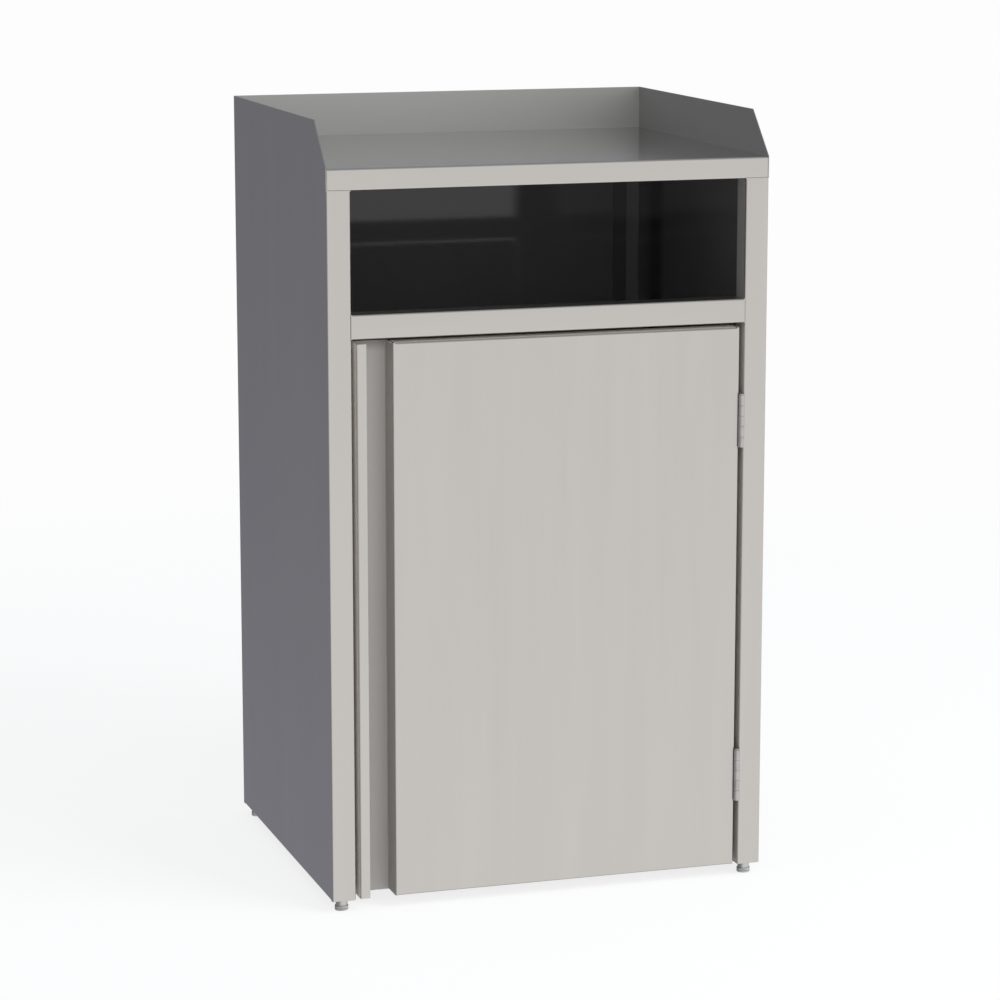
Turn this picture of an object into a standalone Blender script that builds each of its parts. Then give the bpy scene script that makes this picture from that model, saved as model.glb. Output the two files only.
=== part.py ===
"""Waste station: a folded stainless cabinet with an open waste aperture, a hinged door and a tray top.

Metres, +Z up, the front faces -Y, and the origin is on the floor under the middle of the whole box,
which the hinge knuckles lengthen by a few millimetres at the front.
Every sheet piece is drawn as its outer skin, flat by flat and bend by bend, and then given its thickness.
"""

import math

import bmesh
import bpy
from mathutils import Vector

# Cabinet
WIDTH = 0.600
DEPTH = 0.500
TRAY_HEIGHT = 0.960
GALLERY_HEIGHT = 0.058
GALLERY_SLOPE = 0.058
SHEET = 0.0012
INSIDE_RADIUS = 0.0012
BEND_STEPS = 5
FIT = 0.0003
CORNER_RELIEF = 0.004

# Side panels and rear panel
STILE_WIDTH = 0.032
STILE_RETURN = 0.030
REAR_FLANGE = 0.040
REAR_FOOT_FLANGE = 0.025
FLANGE_END_GAP = 0.003

# Tray, rails and base
TOP_RAIL_HEIGHT = 0.028
TOP_RAIL_LIP = 0.020
TRAY_FLANGE = 0.015
APERTURE_HEIGHT = 0.158
MID_RAIL_HEIGHT = 0.032
MID_RAIL_DEPTH = 0.030
TRAY_STIFFENER_WIDTH = 0.050
TRAY_STIFFENER_DEPTH = 0.020
BASE_RISE = 0.030

# Door
DOOR_GAP = 0.006
DOOR_FOOT_GAP = 0.001
DOOR_THICKNESS = 0.034
DOOR_STOP_GAP = 0.004
PULL_LIP = 0.0135
PULL_MOUTH = 0.0345
DOOR_BACK_FLANGE = 0.015
DOOR_CORNER_RELIEF = 0.0015
DOOR_FLANGE_GAP = 0.005
DOOR_STIFFENER_WIDTH = 0.060
DOOR_STIFFENER_DEPTH = 0.020
DOOR_STIFFENER_MARGIN = 0.060

# Hinges
HINGE_HEIGHT = 0.070
HINGE_END_DISTANCE = 0.125
HINGE_LEAF = 0.0013
HINGE_LEAF_DEPTH = 0.024
HINGE_KNUCKLES = 5
KNUCKLE_RADIUS = 0.0040
KNUCKLE_CLEARANCE = 0.0005
KNUCKLE_WRAP = math.radians(260)
KNUCKLE_STEPS = 20
NECK_RADIUS = 0.0010
NECK_STEPS = 3
PIN_HEAD_INSET = 0.0005
PIN_HEAD_HEIGHT = 0.0012
PIN_EDGE = 0.0004

# Magnetic catch and buffer
CATCH_DROP = 0.110
CATCH_WIDTH = 0.016
CATCH_DEPTH = 0.014
CATCH_LENGTH = 0.044
CATCH_EDGE = 0.0012
POLE_WIDTH = 0.0035
POLE_SPACING = 0.008
POLE_RECESS = 0.001
BRACKET_MARGIN = 0.006
BRACKET_SETBACK = 0.010
STRIKE_THICKNESS = 0.0015
STRIKE_WIDTH = 0.026
STRIKE_LENGTH = 0.050
STRIKE_CORNER = 0.004
BUFFER_RADIUS = 0.006
BUFFER_EDGE = 0.001

# Feet
FOOT_HEIGHT = 0.016
FOOT_RADIUS = 0.009
FOOT_NECK_INSET = 0.0012
FOOT_PAD_HEIGHT = 0.007
FOOT_EDGE = 0.0012
FOOT_INSET = 0.0165
STEM_RADIUS = 0.004
STEM_ABOVE_NUT = 0.011
NUT_ACROSS_FLATS = 0.013
NUT_HEIGHT = 0.0065

# Liner bin
BIN_SIDE_GAP = 0.068
BIN_END_GAP = 0.032
BIN_HEAD_GAP = 0.107
BIN_TAPER = 0.022
BIN_CORNER = 0.045
BIN_WALL = 0.003
BIN_RIM_WIDTH = 0.014
BIN_RIM_DROP = 0.022
BIN_CORNER_STEPS = 5
BIN_BAND_DROP = 0.090
BIN_BAND_STEP = 0.004

ROUND_STEPS = 28
TOUCHING = 0.000001

# Places worked out from the sizes
BEND_RADIUS = INSIDE_RADIUS + SHEET
PIN_RADIUS = KNUCKLE_RADIUS - HINGE_LEAF - FIT
LEAF_OFFSET = DOOR_GAP / 2 - FIT
NECK_ANGLE = math.acos((LEAF_OFFSET + NECK_RADIUS) / (KNUCKLE_RADIUS + NECK_RADIUS))
BEND_TO_AXIS = KNUCKLE_RADIUS + KNUCKLE_CLEARANCE + BEND_RADIUS
HINGE_STAND = math.sqrt(BEND_TO_AXIS**2 - (DOOR_GAP / 2 + BEND_RADIUS) ** 2) - BEND_RADIUS
LEFT = -WIDTH / 2
RIGHT = WIDTH / 2
FRONT = -(DEPTH - HINGE_STAND - KNUCKLE_RADIUS) / 2
BACK = FRONT + DEPTH
PANEL_BOTTOM = FOOT_HEIGHT
TRAY_TOP = PANEL_BOTTOM + TRAY_HEIGHT
GALLERY_TOP = TRAY_TOP + GALLERY_HEIGHT
TOP_RAIL_BOTTOM = TRAY_TOP - TOP_RAIL_HEIGHT
SHOULDER = TOP_RAIL_BOTTOM - FIT
APERTURE_BOTTOM = TOP_RAIL_BOTTOM - APERTURE_HEIGHT
MID_RAIL_BOTTOM = APERTURE_BOTTOM - MID_RAIL_HEIGHT
INNER_BACK = BACK - SHEET - FIT
INNER_HALF_WIDTH = WIDTH / 2 - SHEET - FIT
FOOT_FLANGE = STILE_WIDTH - SHEET - FLANGE_END_GAP
BASE_BOTTOM = PANEL_BOTTOM + SHEET + FIT
BASE_TOP = BASE_BOTTOM + BASE_RISE
BASE_FRONT = FRONT + DOOR_THICKNESS + DOOR_STOP_GAP
BASE_BACK = INNER_BACK - SHEET - FIT
BASE_HALF_WIDTH = WIDTH / 2 - BEND_RADIUS - FIT

DOOR_LEFT = LEFT + STILE_WIDTH + DOOR_GAP
DOOR_RIGHT = RIGHT - STILE_WIDTH - DOOR_GAP
DOOR_BOTTOM = PANEL_BOTTOM + DOOR_FOOT_GAP
DOOR_TOP = MID_RAIL_BOTTOM - DOOR_GAP
DOOR_REAR = FRONT + DOOR_THICKNESS
DOOR_END_FLANGE = DOOR_THICKNESS - SHEET - DOOR_FLANGE_GAP
PULL_WALL = DOOR_LEFT + PULL_LIP + PULL_MOUTH
PULL_CENTRE = (DOOR_LEFT + PULL_WALL) / 2

HINGE_AXIS_X = DOOR_RIGHT + DOOR_GAP / 2
HINGE_AXIS_Y = FRONT - HINGE_STAND
HINGE_CENTRES = {
    "upper": DOOR_TOP - HINGE_END_DISTANCE,
    "lower": DOOR_BOTTOM + HINGE_END_DISTANCE,
}
CATCH_HEIGHT = DOOR_TOP - CATCH_DROP

X_AXIS = Vector((1, 0, 0))
Y_AXIS = Vector((0, 1, 0))
Z_AXIS = Vector((0, 0, 1))


# Tools for folding, turning and placing pieces


class Sheet:
    """The outer skin of a folded sheet, drawn from one flat by folding its free edges."""

    def __init__(self, corners, outside, thickness=SHEET):
        self.bm = bmesh.new()
        self.outside = Vector(outside)
        self.thickness = thickness
        self.bm.faces.new([self.bm.verts.new(corner) for corner in corners])

    def split(self, place, normal):
        """Draw a line across the first flat, so that a wide flat with notches is made of plain rectangles."""
        flat = [*self.bm.verts, *self.bm.edges, *self.bm.faces]
        bmesh.ops.bisect_plane(self.bm, geom=flat, dist=TOUCHING, plane_co=place, plane_no=normal)

    def edge(self, start, end):
        """Find the free edge that joins two corners of the first flat."""
        def gap(vert, place):
            return (vert.co - Vector(place)).length

        first = min(self.bm.verts, key=lambda vert: gap(vert, start))
        last = min(self.bm.verts, key=lambda vert: gap(vert, end))
        return self.bm.edges.get((first, last))

    def bend(self, edge, heading, towards, radius, angle=math.pi / 2, steps=BEND_STEPS):
        """Roll a free edge round a bend whose centre lies towards one side, and return the new free edge."""
        centre = edge.verts[0].co + towards * radius
        rolled = bmesh.ops.spin(
            self.bm, geom=[edge, *edge.verts], cent=centre, axis=heading.cross(towards), angle=angle, steps=steps
        )
        return next(item for item in rolled["geom_last"] if isinstance(item, bmesh.types.BMEdge))

    def run(self, edge, step):
        """Carry a free edge straight on by a step, and return the new free edge."""
        drawn = bmesh.ops.extrude_edge_only(self.bm, edges=[edge])["geom"]
        verts = [item for item in drawn if isinstance(item, bmesh.types.BMVert)]
        bmesh.ops.translate(self.bm, verts=verts, vec=step)
        return self.bm.edges.get(verts)

    def fold(self, edge, heading, legs):
        """Fold a row of square legs from a free edge.

        Each leg is a direction and its length between the corners where its two faces would meet.
        A fold away from the skin's own side has the outside radius, and a fold towards it the inside one.
        """
        normal = self.outside
        ahead = heading
        radii = []
        for towards, _ in legs:
            away = towards.dot(normal) < 0
            radii.append(BEND_RADIUS if away else INSIDE_RADIUS)
            normal = ahead if away else -ahead
            ahead = towards
        radii.append(0.0)
        for (towards, length), radius, next_radius in zip(legs, radii, radii[1:]):
            edge = self.bend(edge, heading, towards, radius)
            edge = self.run(edge, towards * (length - radius - next_radius))
            heading = towards

    def finish(self, name, finish, parent):
        """Turn the skin's faces outward, and make the object with its thickness behind them."""
        bmesh.ops.recalc_face_normals(self.bm, faces=self.bm.faces)
        self.bm.faces.ensure_lookup_table()
        if self.bm.faces[0].normal.dot(self.outside) < 0:
            bmesh.ops.reverse_faces(self.bm, faces=self.bm.faces)
        piece = place(name, self.bm, finish, parent)
        wall = piece.modifiers.new("thickness", "SOLIDIFY")
        wall.thickness = self.thickness
        wall.offset = -1
        wall.use_even_offset = True
        return piece


def finish_of(name, colour, roughness, metallic):
    """Make one material from a colour, a roughness and a metallic value."""
    material = bpy.data.materials.new(name)
    material.use_nodes = True
    shader = material.node_tree.nodes["Principled BSDF"]
    shader.inputs["Base Color"].default_value = (*colour, 1)
    shader.inputs["Roughness"].default_value = roughness
    shader.inputs["Metallic"].default_value = metallic
    return material


def place(name, bm, finish, parent):
    """Make an object of a mesh drawn in world coordinates, under a parent empty."""
    bmesh.ops.translate(bm, verts=bm.verts, vec=-parent.location)
    mesh = bpy.data.meshes.new(name)
    bm.to_mesh(mesh)
    bm.free()
    mesh.materials.append(finish_of(name, *finish))
    piece = bpy.data.objects.new(name, mesh)
    bpy.context.scene.collection.objects.link(piece)
    piece.parent = parent
    return piece


def anchor(name, location=(0, 0, 0)):
    """Make an empty that a group of pieces hangs on."""
    empty = bpy.data.objects.new(name, None)
    empty.location = location
    bpy.context.scene.collection.objects.link(empty)
    return empty


def turned(profile, centre):
    """Turn a profile of radius and height pairs round a vertical axis, closed where it meets the axis."""
    bm = bmesh.new()
    verts = [bm.verts.new(Vector(centre) + Vector((radius, 0, height))) for radius, height in profile]
    edges = [bm.edges.new(pair) for pair in zip(verts, verts[1:])]
    bmesh.ops.spin(
        bm, geom=verts + edges, cent=centre, axis=Z_AXIS, angle=math.tau, steps=ROUND_STEPS, use_merge=True
    )
    bmesh.ops.remove_doubles(bm, verts=bm.verts, dist=TOUCHING)
    bmesh.ops.recalc_face_normals(bm, faces=bm.faces)
    return bm


def shade_round(piece):
    """Shade a turned piece smooth, with its square edges kept."""
    piece.data.shade_smooth()
    piece.data.set_sharp_from_angle(angle=math.radians(30))


def block(low, high):
    """Make a box between two corners."""
    low, high = Vector(low), Vector(high)
    bm = bmesh.new()
    bmesh.ops.create_cube(bm, size=1)
    bmesh.ops.scale(bm, verts=bm.verts, vec=high - low)
    bmesh.ops.translate(bm, verts=bm.verts, vec=(low + high) / 2)
    return bm


def cut(piece, cutter_mesh):
    """Take a closed shape, drawn in world coordinates, away from a piece."""
    name = f"{piece.name}_cutter_{len(piece.modifiers)}"
    mesh = bpy.data.meshes.new(name)
    cutter_mesh.to_mesh(mesh)
    cutter_mesh.free()
    cutter = bpy.data.objects.new(name, mesh)
    bpy.context.scene.collection.objects.link(cutter)
    cutter.hide_render = True
    cutter.display_type = "WIRE"
    opening = piece.modifiers.new(name, "BOOLEAN")
    opening.operation = "DIFFERENCE"
    opening.solver = "EXACT"
    opening.object = cutter


def rod(radius, bottom, top, x, y):
    """Make an upright round bar."""
    return turned([(0, bottom), (radius, bottom), (radius, top), (0, top)], (x, y, 0))


# Finishes: colour, roughness, metallic
BRUSHED = ((0.52, 0.50, 0.48), 0.34, 1.0)
MILL = ((0.45, 0.44, 0.43), 0.16, 1.0)
PLAIN_STEEL = ((0.56, 0.55, 0.54), 0.28, 1.0)
ZINC = ((0.58, 0.58, 0.57), 0.40, 1.0)
DARK_PLASTIC = ((0.035, 0.036, 0.038), 0.55, 0.0)
RUBBER = ((0.02, 0.02, 0.02), 0.8, 0.0)


# Cabinet


def foot_places():
    """Give the name and place of each foot."""
    left, right = LEFT + FOOT_INSET, RIGHT - FOOT_INSET
    front, rear = FRONT + FOOT_INSET, BACK - FOOT_INSET
    return {
        "front_left": (left, front),
        "front_right": (right, front),
        "rear_left": (left, rear),
        "rear_right": (right, rear),
    }


def side_panel(name, side, parent):
    """Fold one side: wall and gallery in one sheet, with stile, stile return, rear flange and foot flange."""
    wall = side * WIDTH / 2
    inward = -side * X_AXIS
    front_fold = FRONT + BEND_RADIUS
    back_fold = INNER_BACK - BEND_RADIUS
    foot_fold = PANEL_BOTTOM + BEND_RADIUS
    foot_front = front_fold + CORNER_RELIEF
    foot_back = back_fold - CORNER_RELIEF
    seam = SHOULDER + FIT
    outline = [
        (front_fold, PANEL_BOTTOM),
        (front_fold, SHOULDER),
        (front_fold, seam),
        (FRONT, seam),
        (FRONT, TRAY_TOP),
        (FRONT + GALLERY_SLOPE, GALLERY_TOP),
        (INNER_BACK, GALLERY_TOP),
        (INNER_BACK, seam),
        (back_fold, seam),
        (back_fold, SHOULDER),
        (back_fold, PANEL_BOTTOM),
        (foot_back, PANEL_BOTTOM),
        (foot_back, foot_fold),
        (foot_front, foot_fold),
        (foot_front, PANEL_BOTTOM),
    ]
    sheet = Sheet([(wall, y, z) for y, z in outline], outside=side * X_AXIS)
    stile = sheet.edge((wall, front_fold, PANEL_BOTTOM), (wall, front_fold, SHOULDER))
    sheet.fold(stile, -Y_AXIS, [(inward, STILE_WIDTH), (Y_AXIS, STILE_RETURN)])
    rear = sheet.edge((wall, back_fold, PANEL_BOTTOM), (wall, back_fold, SHOULDER))
    sheet.fold(rear, Y_AXIS, [(inward, REAR_FLANGE)])
    foot = sheet.edge((wall, foot_front, foot_fold), (wall, foot_back, foot_fold))
    sheet.fold(foot, -Z_AXIS, [(inward, FOOT_FLANGE)])
    panel = sheet.finish(name, BRUSHED, parent)
    for x, y in foot_places().values():
        if x * side > 0:
            cut(panel, rod(STEM_RADIUS + FIT, PANEL_BOTTOM - SHEET, PANEL_BOTTOM + 2 * SHEET, x, y))
    return panel


def rear_panel(parent):
    """Fold the back sheet, which runs from the feet to the top of the gallery."""
    flange_half = WIDTH / 2 - max(REAR_FLANGE, FOOT_FLANGE) - CORNER_RELIEF
    foot_fold = PANEL_BOTTOM + BEND_RADIUS
    outline = [
        (LEFT, PANEL_BOTTOM),
        (-flange_half, PANEL_BOTTOM),
        (-flange_half, foot_fold),
        (flange_half, foot_fold),
        (flange_half, PANEL_BOTTOM),
        (RIGHT, PANEL_BOTTOM),
        (RIGHT, GALLERY_TOP),
        (LEFT, GALLERY_TOP),
    ]
    sheet = Sheet([(x, BACK, z) for x, z in outline], outside=Y_AXIS)
    for x in (-flange_half, flange_half):
        sheet.split((x, BACK, foot_fold), X_AXIS)
    foot = sheet.edge((-flange_half, BACK, foot_fold), (flange_half, BACK, foot_fold))
    sheet.fold(foot, -Z_AXIS, [(-Y_AXIS, REAR_FOOT_FLANGE)])
    return sheet.finish("rear_panel", BRUSHED, parent)


def pan(half_width, front, back, top, front_legs, flange, full_front):
    """Fold a flat down on its back and both sides, and by its own legs at the front.

    A slot relieves each corner where two folds meet; a full front fold runs the whole width.
    """
    side = half_width - BEND_RADIUS
    front_fold, back_fold = front + BEND_RADIUS, back - BEND_RADIUS
    side_front, side_back = front_fold + CORNER_RELIEF, back_fold - CORNER_RELIEF
    inner = side - CORNER_RELIEF
    front_half = half_width if full_front else inner
    right = [(front_half, front_fold)]
    if not full_front:
        right += [(inner, front), (half_width, front)]
    right += [(half_width, side_front), (side, side_front), (side, side_back), (half_width, side_back)]
    right += [(half_width, back), (inner, back), (inner, back_fold)]
    left = [(-x, y) for x, y in reversed(right)]
    sheet = Sheet([(x, y, top) for x, y in right + left], outside=Z_AXIS)
    for way in (-1, 1):
        edge = sheet.edge((way * side, side_front, top), (way * side, side_back, top))
        sheet.fold(edge, way * X_AXIS, [(-Z_AXIS, flange)])
    edge = sheet.edge((-inner, back_fold, top), (inner, back_fold, top))
    sheet.fold(edge, Y_AXIS, [(-Z_AXIS, flange)])
    edge = sheet.edge((-front_half, front_fold, top), (front_half, front_fold, top))
    sheet.fold(edge, -Y_AXIS, front_legs)
    return sheet


def tray_top(parent):
    """Fold the tray floor, whose front drop edge is the top rail of the aperture."""
    rail = [(-Z_AXIS, TOP_RAIL_HEIGHT), (Y_AXIS, TOP_RAIL_LIP)]
    sheet = pan(INNER_HALF_WIDTH, FRONT, INNER_BACK, TRAY_TOP, rail, TRAY_FLANGE, full_front=True)
    return sheet.finish("tray_top", BRUSHED, parent)


def base_pan(parent):
    """Fold the raised floor that the bin stands on."""
    drop = [(-Z_AXIS, BASE_RISE)]
    sheet = pan(BASE_HALF_WIDTH, BASE_FRONT, BASE_BACK, BASE_TOP, drop, BASE_RISE, full_front=False)
    return sheet.finish("base_pan", MILL, parent)


def tray_stiffener(parent):
    """Fold the channel that carries the middle of the tray floor."""
    half_length = INNER_HALF_WIDTH - BEND_RADIUS - CORNER_RELIEF
    middle = (FRONT + BACK) / 2
    half_width = TRAY_STIFFENER_WIDTH / 2 - BEND_RADIUS
    front, back = middle - half_width, middle + half_width
    top = TRAY_TOP - SHEET - FIT
    corners = [(-half_length, front), (half_length, front), (half_length, back), (-half_length, back)]
    sheet = Sheet([(x, y, top) for x, y in corners], outside=Z_AXIS)
    for y, heading in ((front, -Y_AXIS), (back, Y_AXIS)):
        edge = sheet.edge((-half_length, y, top), (half_length, y, top))
        sheet.fold(edge, heading, [(-Z_AXIS, TRAY_STIFFENER_DEPTH)])
    return sheet.finish("tray_stiffener", MILL, parent)


def mid_rail(parent):
    """Fold the rail between the aperture and the door."""
    half = WIDTH / 2 - STILE_WIDTH - FIT
    low = MID_RAIL_BOTTOM + BEND_RADIUS
    high = APERTURE_BOTTOM - BEND_RADIUS
    sheet = Sheet([(-half, FRONT, low), (half, FRONT, low), (half, FRONT, high), (-half, FRONT, high)], -Y_AXIS)
    for level, heading in ((low, -Z_AXIS), (high, Z_AXIS)):
        edge = sheet.edge((-half, FRONT, level), (half, FRONT, level))
        sheet.fold(edge, heading, [(Y_AXIS, MID_RAIL_DEPTH)])
    return sheet.finish("mid_rail", BRUSHED, parent)


# Door


def door_panel(parent):
    """Fold the door: face, end flanges, back flange, and the pull channel with its lip on the left edge."""
    left_fold = PULL_WALL + BEND_RADIUS
    right_fold = DOOR_RIGHT - BEND_RADIUS
    low_fold = DOOR_BOTTOM + BEND_RADIUS
    high_fold = DOOR_TOP - BEND_RADIUS
    end_left = left_fold + DOOR_CORNER_RELIEF
    end_right = right_fold - DOOR_CORNER_RELIEF
    outline = [
        (left_fold, DOOR_BOTTOM),
        (end_left, DOOR_BOTTOM),
        (end_left, low_fold),
        (end_right, low_fold),
        (end_right, DOOR_BOTTOM),
        (right_fold, DOOR_BOTTOM),
        (right_fold, DOOR_TOP),
        (end_right, DOOR_TOP),
        (end_right, high_fold),
        (end_left, high_fold),
        (end_left, DOOR_TOP),
        (left_fold, DOOR_TOP),
    ]
    sheet = Sheet([(x, FRONT, z) for x, z in outline], outside=-Y_AXIS)
    for level, heading in ((low_fold, -Z_AXIS), (high_fold, Z_AXIS)):
        edge = sheet.edge((end_left, FRONT, level), (end_right, FRONT, level))
        sheet.fold(edge, heading, [(Y_AXIS, DOOR_END_FLANGE)])
    hinge_edge = sheet.edge((right_fold, FRONT, DOOR_BOTTOM), (right_fold, FRONT, DOOR_TOP))
    sheet.fold(hinge_edge, X_AXIS, [(Y_AXIS, DOOR_THICKNESS), (-X_AXIS, DOOR_BACK_FLANGE)])
    pull_edge = sheet.edge((left_fold, FRONT, DOOR_BOTTOM), (left_fold, FRONT, DOOR_TOP))
    channel = [
        (Y_AXIS, DOOR_THICKNESS - SHEET),
        (-X_AXIS, PULL_MOUTH + PULL_LIP - SHEET),
        (-Y_AXIS, DOOR_THICKNESS - 2 * SHEET),
        (X_AXIS, PULL_LIP - SHEET),
    ]
    sheet.fold(pull_edge, -X_AXIS, channel)
    return sheet.finish("door_panel", BRUSHED, parent)


def door_stiffener(parent):
    """Fold the upright channel behind the door face."""
    middle = (PULL_WALL + DOOR_RIGHT) / 2
    half = DOOR_STIFFENER_WIDTH / 2 - BEND_RADIUS
    low = DOOR_BOTTOM + DOOR_STIFFENER_MARGIN
    high = DOOR_TOP - DOOR_STIFFENER_MARGIN
    face = FRONT + SHEET + FIT
    left, right = middle - half, middle + half
    sheet = Sheet([(left, face, low), (right, face, low), (right, face, high), (left, face, high)], -Y_AXIS)
    for x, heading in ((left, -X_AXIS), (right, X_AXIS)):
        edge = sheet.edge((x, face, low), (x, face, high))
        sheet.fold(edge, heading, [(Y_AXIS, DOOR_STIFFENER_DEPTH)])
    return sheet.finish("door_stiffener", MILL, parent)


# Hinges


def hinge_leaf(name, side, centre, first_knuckle, parent):
    """Make one hinge leaf: a plate necked out and rolled round the pin at every other knuckle."""
    outward = side * X_AXIS
    neck_ahead = outward * math.sin(NECK_ANGLE) - Y_AXIS * math.cos(NECK_ANGLE)
    neck_inward = -outward * math.cos(NECK_ANGLE) - Y_AXIS * math.sin(NECK_ANGLE)
    x = HINGE_AXIS_X + side * LEAF_OFFSET
    neck = HINGE_AXIS_Y + (KNUCKLE_RADIUS + NECK_RADIUS) * math.sin(NECK_ANGLE)
    plate_front = HINGE_AXIS_Y + KNUCKLE_RADIUS + KNUCKLE_CLEARANCE
    plate_back = FRONT + HINGE_LEAF_DEPTH
    bottom = centre - HINGE_HEIGHT / 2
    pitch = HINGE_HEIGHT / HINGE_KNUCKLES
    spans = []
    for index in range(first_knuckle, HINGE_KNUCKLES, 2):
        low = bottom + index * pitch + (FIT / 2 if index else 0)
        high = bottom + (index + 1) * pitch - (FIT / 2 if index + 1 < HINGE_KNUCKLES else 0)
        spans.append((low, high))
    outline = [(plate_back, bottom + HINGE_HEIGHT), (plate_back, bottom)]
    if first_knuckle:
        outline.append((plate_front, bottom))
    outline += [(plate_front, level) for span in spans for level in span]
    if first_knuckle:
        outline.append((plate_front, bottom + HINGE_HEIGHT))
    sheet = Sheet([(x, y, z) for y, z in outline], outward, HINGE_LEAF)
    for low, high in spans:
        edge = sheet.edge((x, plate_front, low), (x, plate_front, high))
        edge = sheet.run(edge, Y_AXIS * (neck - plate_front))
        edge = sheet.bend(edge, -Y_AXIS, outward, NECK_RADIUS, NECK_ANGLE, NECK_STEPS)
        sheet.bend(edge, neck_ahead, neck_inward, KNUCKLE_RADIUS, NECK_ANGLE + KNUCKLE_WRAP, KNUCKLE_STEPS)
    return sheet.finish(name, PLAIN_STEEL, parent)


def hinge_pin(name, centre, parent):
    """Turn one hinge pin, with a flat head above the top knuckle."""
    bottom = centre - HINGE_HEIGHT / 2
    shoulder = centre + HINGE_HEIGHT / 2 + FIT
    top = shoulder + PIN_HEAD_HEIGHT
    head = KNUCKLE_RADIUS - PIN_HEAD_INSET
    profile = [
        (0, bottom),
        (PIN_RADIUS - PIN_EDGE, bottom),
        (PIN_RADIUS, bottom + PIN_EDGE),
        (PIN_RADIUS, shoulder),
        (head, shoulder),
        (head, top - PIN_EDGE),
        (head - PIN_EDGE, top),
        (0, top),
    ]
    pin = place(name, turned(profile, (HINGE_AXIS_X, HINGE_AXIS_Y, 0)), PLAIN_STEEL, parent)
    shade_round(pin)
    return pin


# Magnetic catch and buffer


def catch_bracket(parent):
    """Fold the angle that carries the catch from the back of the left stile return."""
    plate = LEFT + STILE_WIDTH - SHEET - FIT
    rear = DOOR_REAR + STRIKE_THICKNESS + 3 * FIT + CATCH_DEPTH
    front = FRONT + BRACKET_SETBACK
    half = CATCH_LENGTH / 2 + BRACKET_MARGIN
    low, high = CATCH_HEIGHT - half, CATCH_HEIGHT + half
    fold = rear - INSIDE_RADIUS
    sheet = Sheet([(plate, front, low), (plate, fold, low), (plate, fold, high), (plate, front, high)], X_AXIS)
    edge = sheet.edge((plate, fold, low), (plate, fold, high))
    sheet.fold(edge, Y_AXIS, [(X_AXIS, PULL_CENTRE + CATCH_WIDTH / 2 - plate)])
    return sheet.finish("catch_bracket", PLAIN_STEEL, parent)


def catch_body(parent):
    """Make the catch housing, with the two pole strips sunk in slots across its front."""
    front = DOOR_REAR + STRIKE_THICKNESS + 2 * FIT
    half_width, half_length = CATCH_WIDTH / 2, CATCH_LENGTH / 2
    low = (PULL_CENTRE - half_width, front, CATCH_HEIGHT - half_length)
    high = (PULL_CENTRE + half_width, front + CATCH_DEPTH, CATCH_HEIGHT + half_length)
    bm = block(low, high)
    bmesh.ops.bevel(bm, geom=bm.edges, offset=CATCH_EDGE, segments=2, profile=0.5, affect="EDGES")
    body = place("catch_body", bm, DARK_PLASTIC, parent)
    for way in (-1, 1):
        x = PULL_CENTRE + way * POLE_SPACING / 2
        slot_low = (x - POLE_WIDTH / 2, front - SHEET, low[2] + 2 * CATCH_EDGE)
        slot_high = (x + POLE_WIDTH / 2, front + POLE_RECESS, high[2] - 2 * CATCH_EDGE)
        cut(body, block(slot_low, slot_high))
    return body


def strike_plate(parent):
    """Make the strike plate on the back of the pull channel, with rounded corners."""
    half_width, half_length = STRIKE_WIDTH / 2, STRIKE_LENGTH / 2
    front = DOOR_REAR + FIT
    low = (PULL_CENTRE - half_width, front, CATCH_HEIGHT - half_length)
    high = (PULL_CENTRE + half_width, front + STRIKE_THICKNESS, CATCH_HEIGHT + half_length)
    bm = block(low, high)
    corners = [edge for edge in bm.edges if abs((edge.verts[0].co - edge.verts[1].co).y) > STRIKE_THICKNESS / 2]
    bmesh.ops.bevel(bm, geom=corners, offset=STRIKE_CORNER, segments=4, profile=0.5, affect="EDGES")
    return place("strike_plate", bm, ZINC, parent)


def door_buffer(parent):
    """Turn the rubber buffer on the front of the base pan that the pull channel closes on."""
    height = BASE_BOTTOM + BASE_RISE / 2
    front = DOOR_REAR + FIT
    length = BASE_FRONT - FIT - front
    profile = [(0, 0), (BUFFER_RADIUS, 0), (BUFFER_RADIUS, length - BUFFER_EDGE)]
    profile += [(BUFFER_RADIUS - BUFFER_EDGE, length), (0, length)]
    bm = turned(profile, (0, 0, 0))
    bmesh.ops.rotate(bm, verts=bm.verts, cent=(0, 0, 0), matrix=Z_AXIS.rotation_difference(-Y_AXIS).to_matrix())
    bmesh.ops.translate(bm, verts=bm.verts, vec=(PULL_CENTRE, BASE_FRONT - FIT, height))
    buffer = place("door_buffer", bm, RUBBER, parent)
    shade_round(buffer)
    return buffer


# Feet


def levelling_foot(name, x, y, parent):
    """Turn one foot: round pad, neck and the threaded stem that goes up through its nut."""
    neck = FOOT_RADIUS - FOOT_NECK_INSET
    neck_top = FOOT_HEIGHT - FIT
    stem_top = PANEL_BOTTOM + SHEET + FIT + NUT_HEIGHT + STEM_ABOVE_NUT
    profile = [
        (0, 0),
        (FOOT_RADIUS - FOOT_EDGE, 0),
        (FOOT_RADIUS, FOOT_EDGE),
        (FOOT_RADIUS, FOOT_PAD_HEIGHT - FOOT_EDGE),
        (neck, FOOT_PAD_HEIGHT),
        (neck, neck_top),
        (STEM_RADIUS, neck_top),
        (STEM_RADIUS, stem_top - FOOT_EDGE),
        (STEM_RADIUS - FOOT_EDGE, stem_top),
        (0, stem_top),
    ]
    foot = place(name, turned(profile, (x, y, 0)), ZINC, parent)
    shade_round(foot)
    return foot


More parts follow.
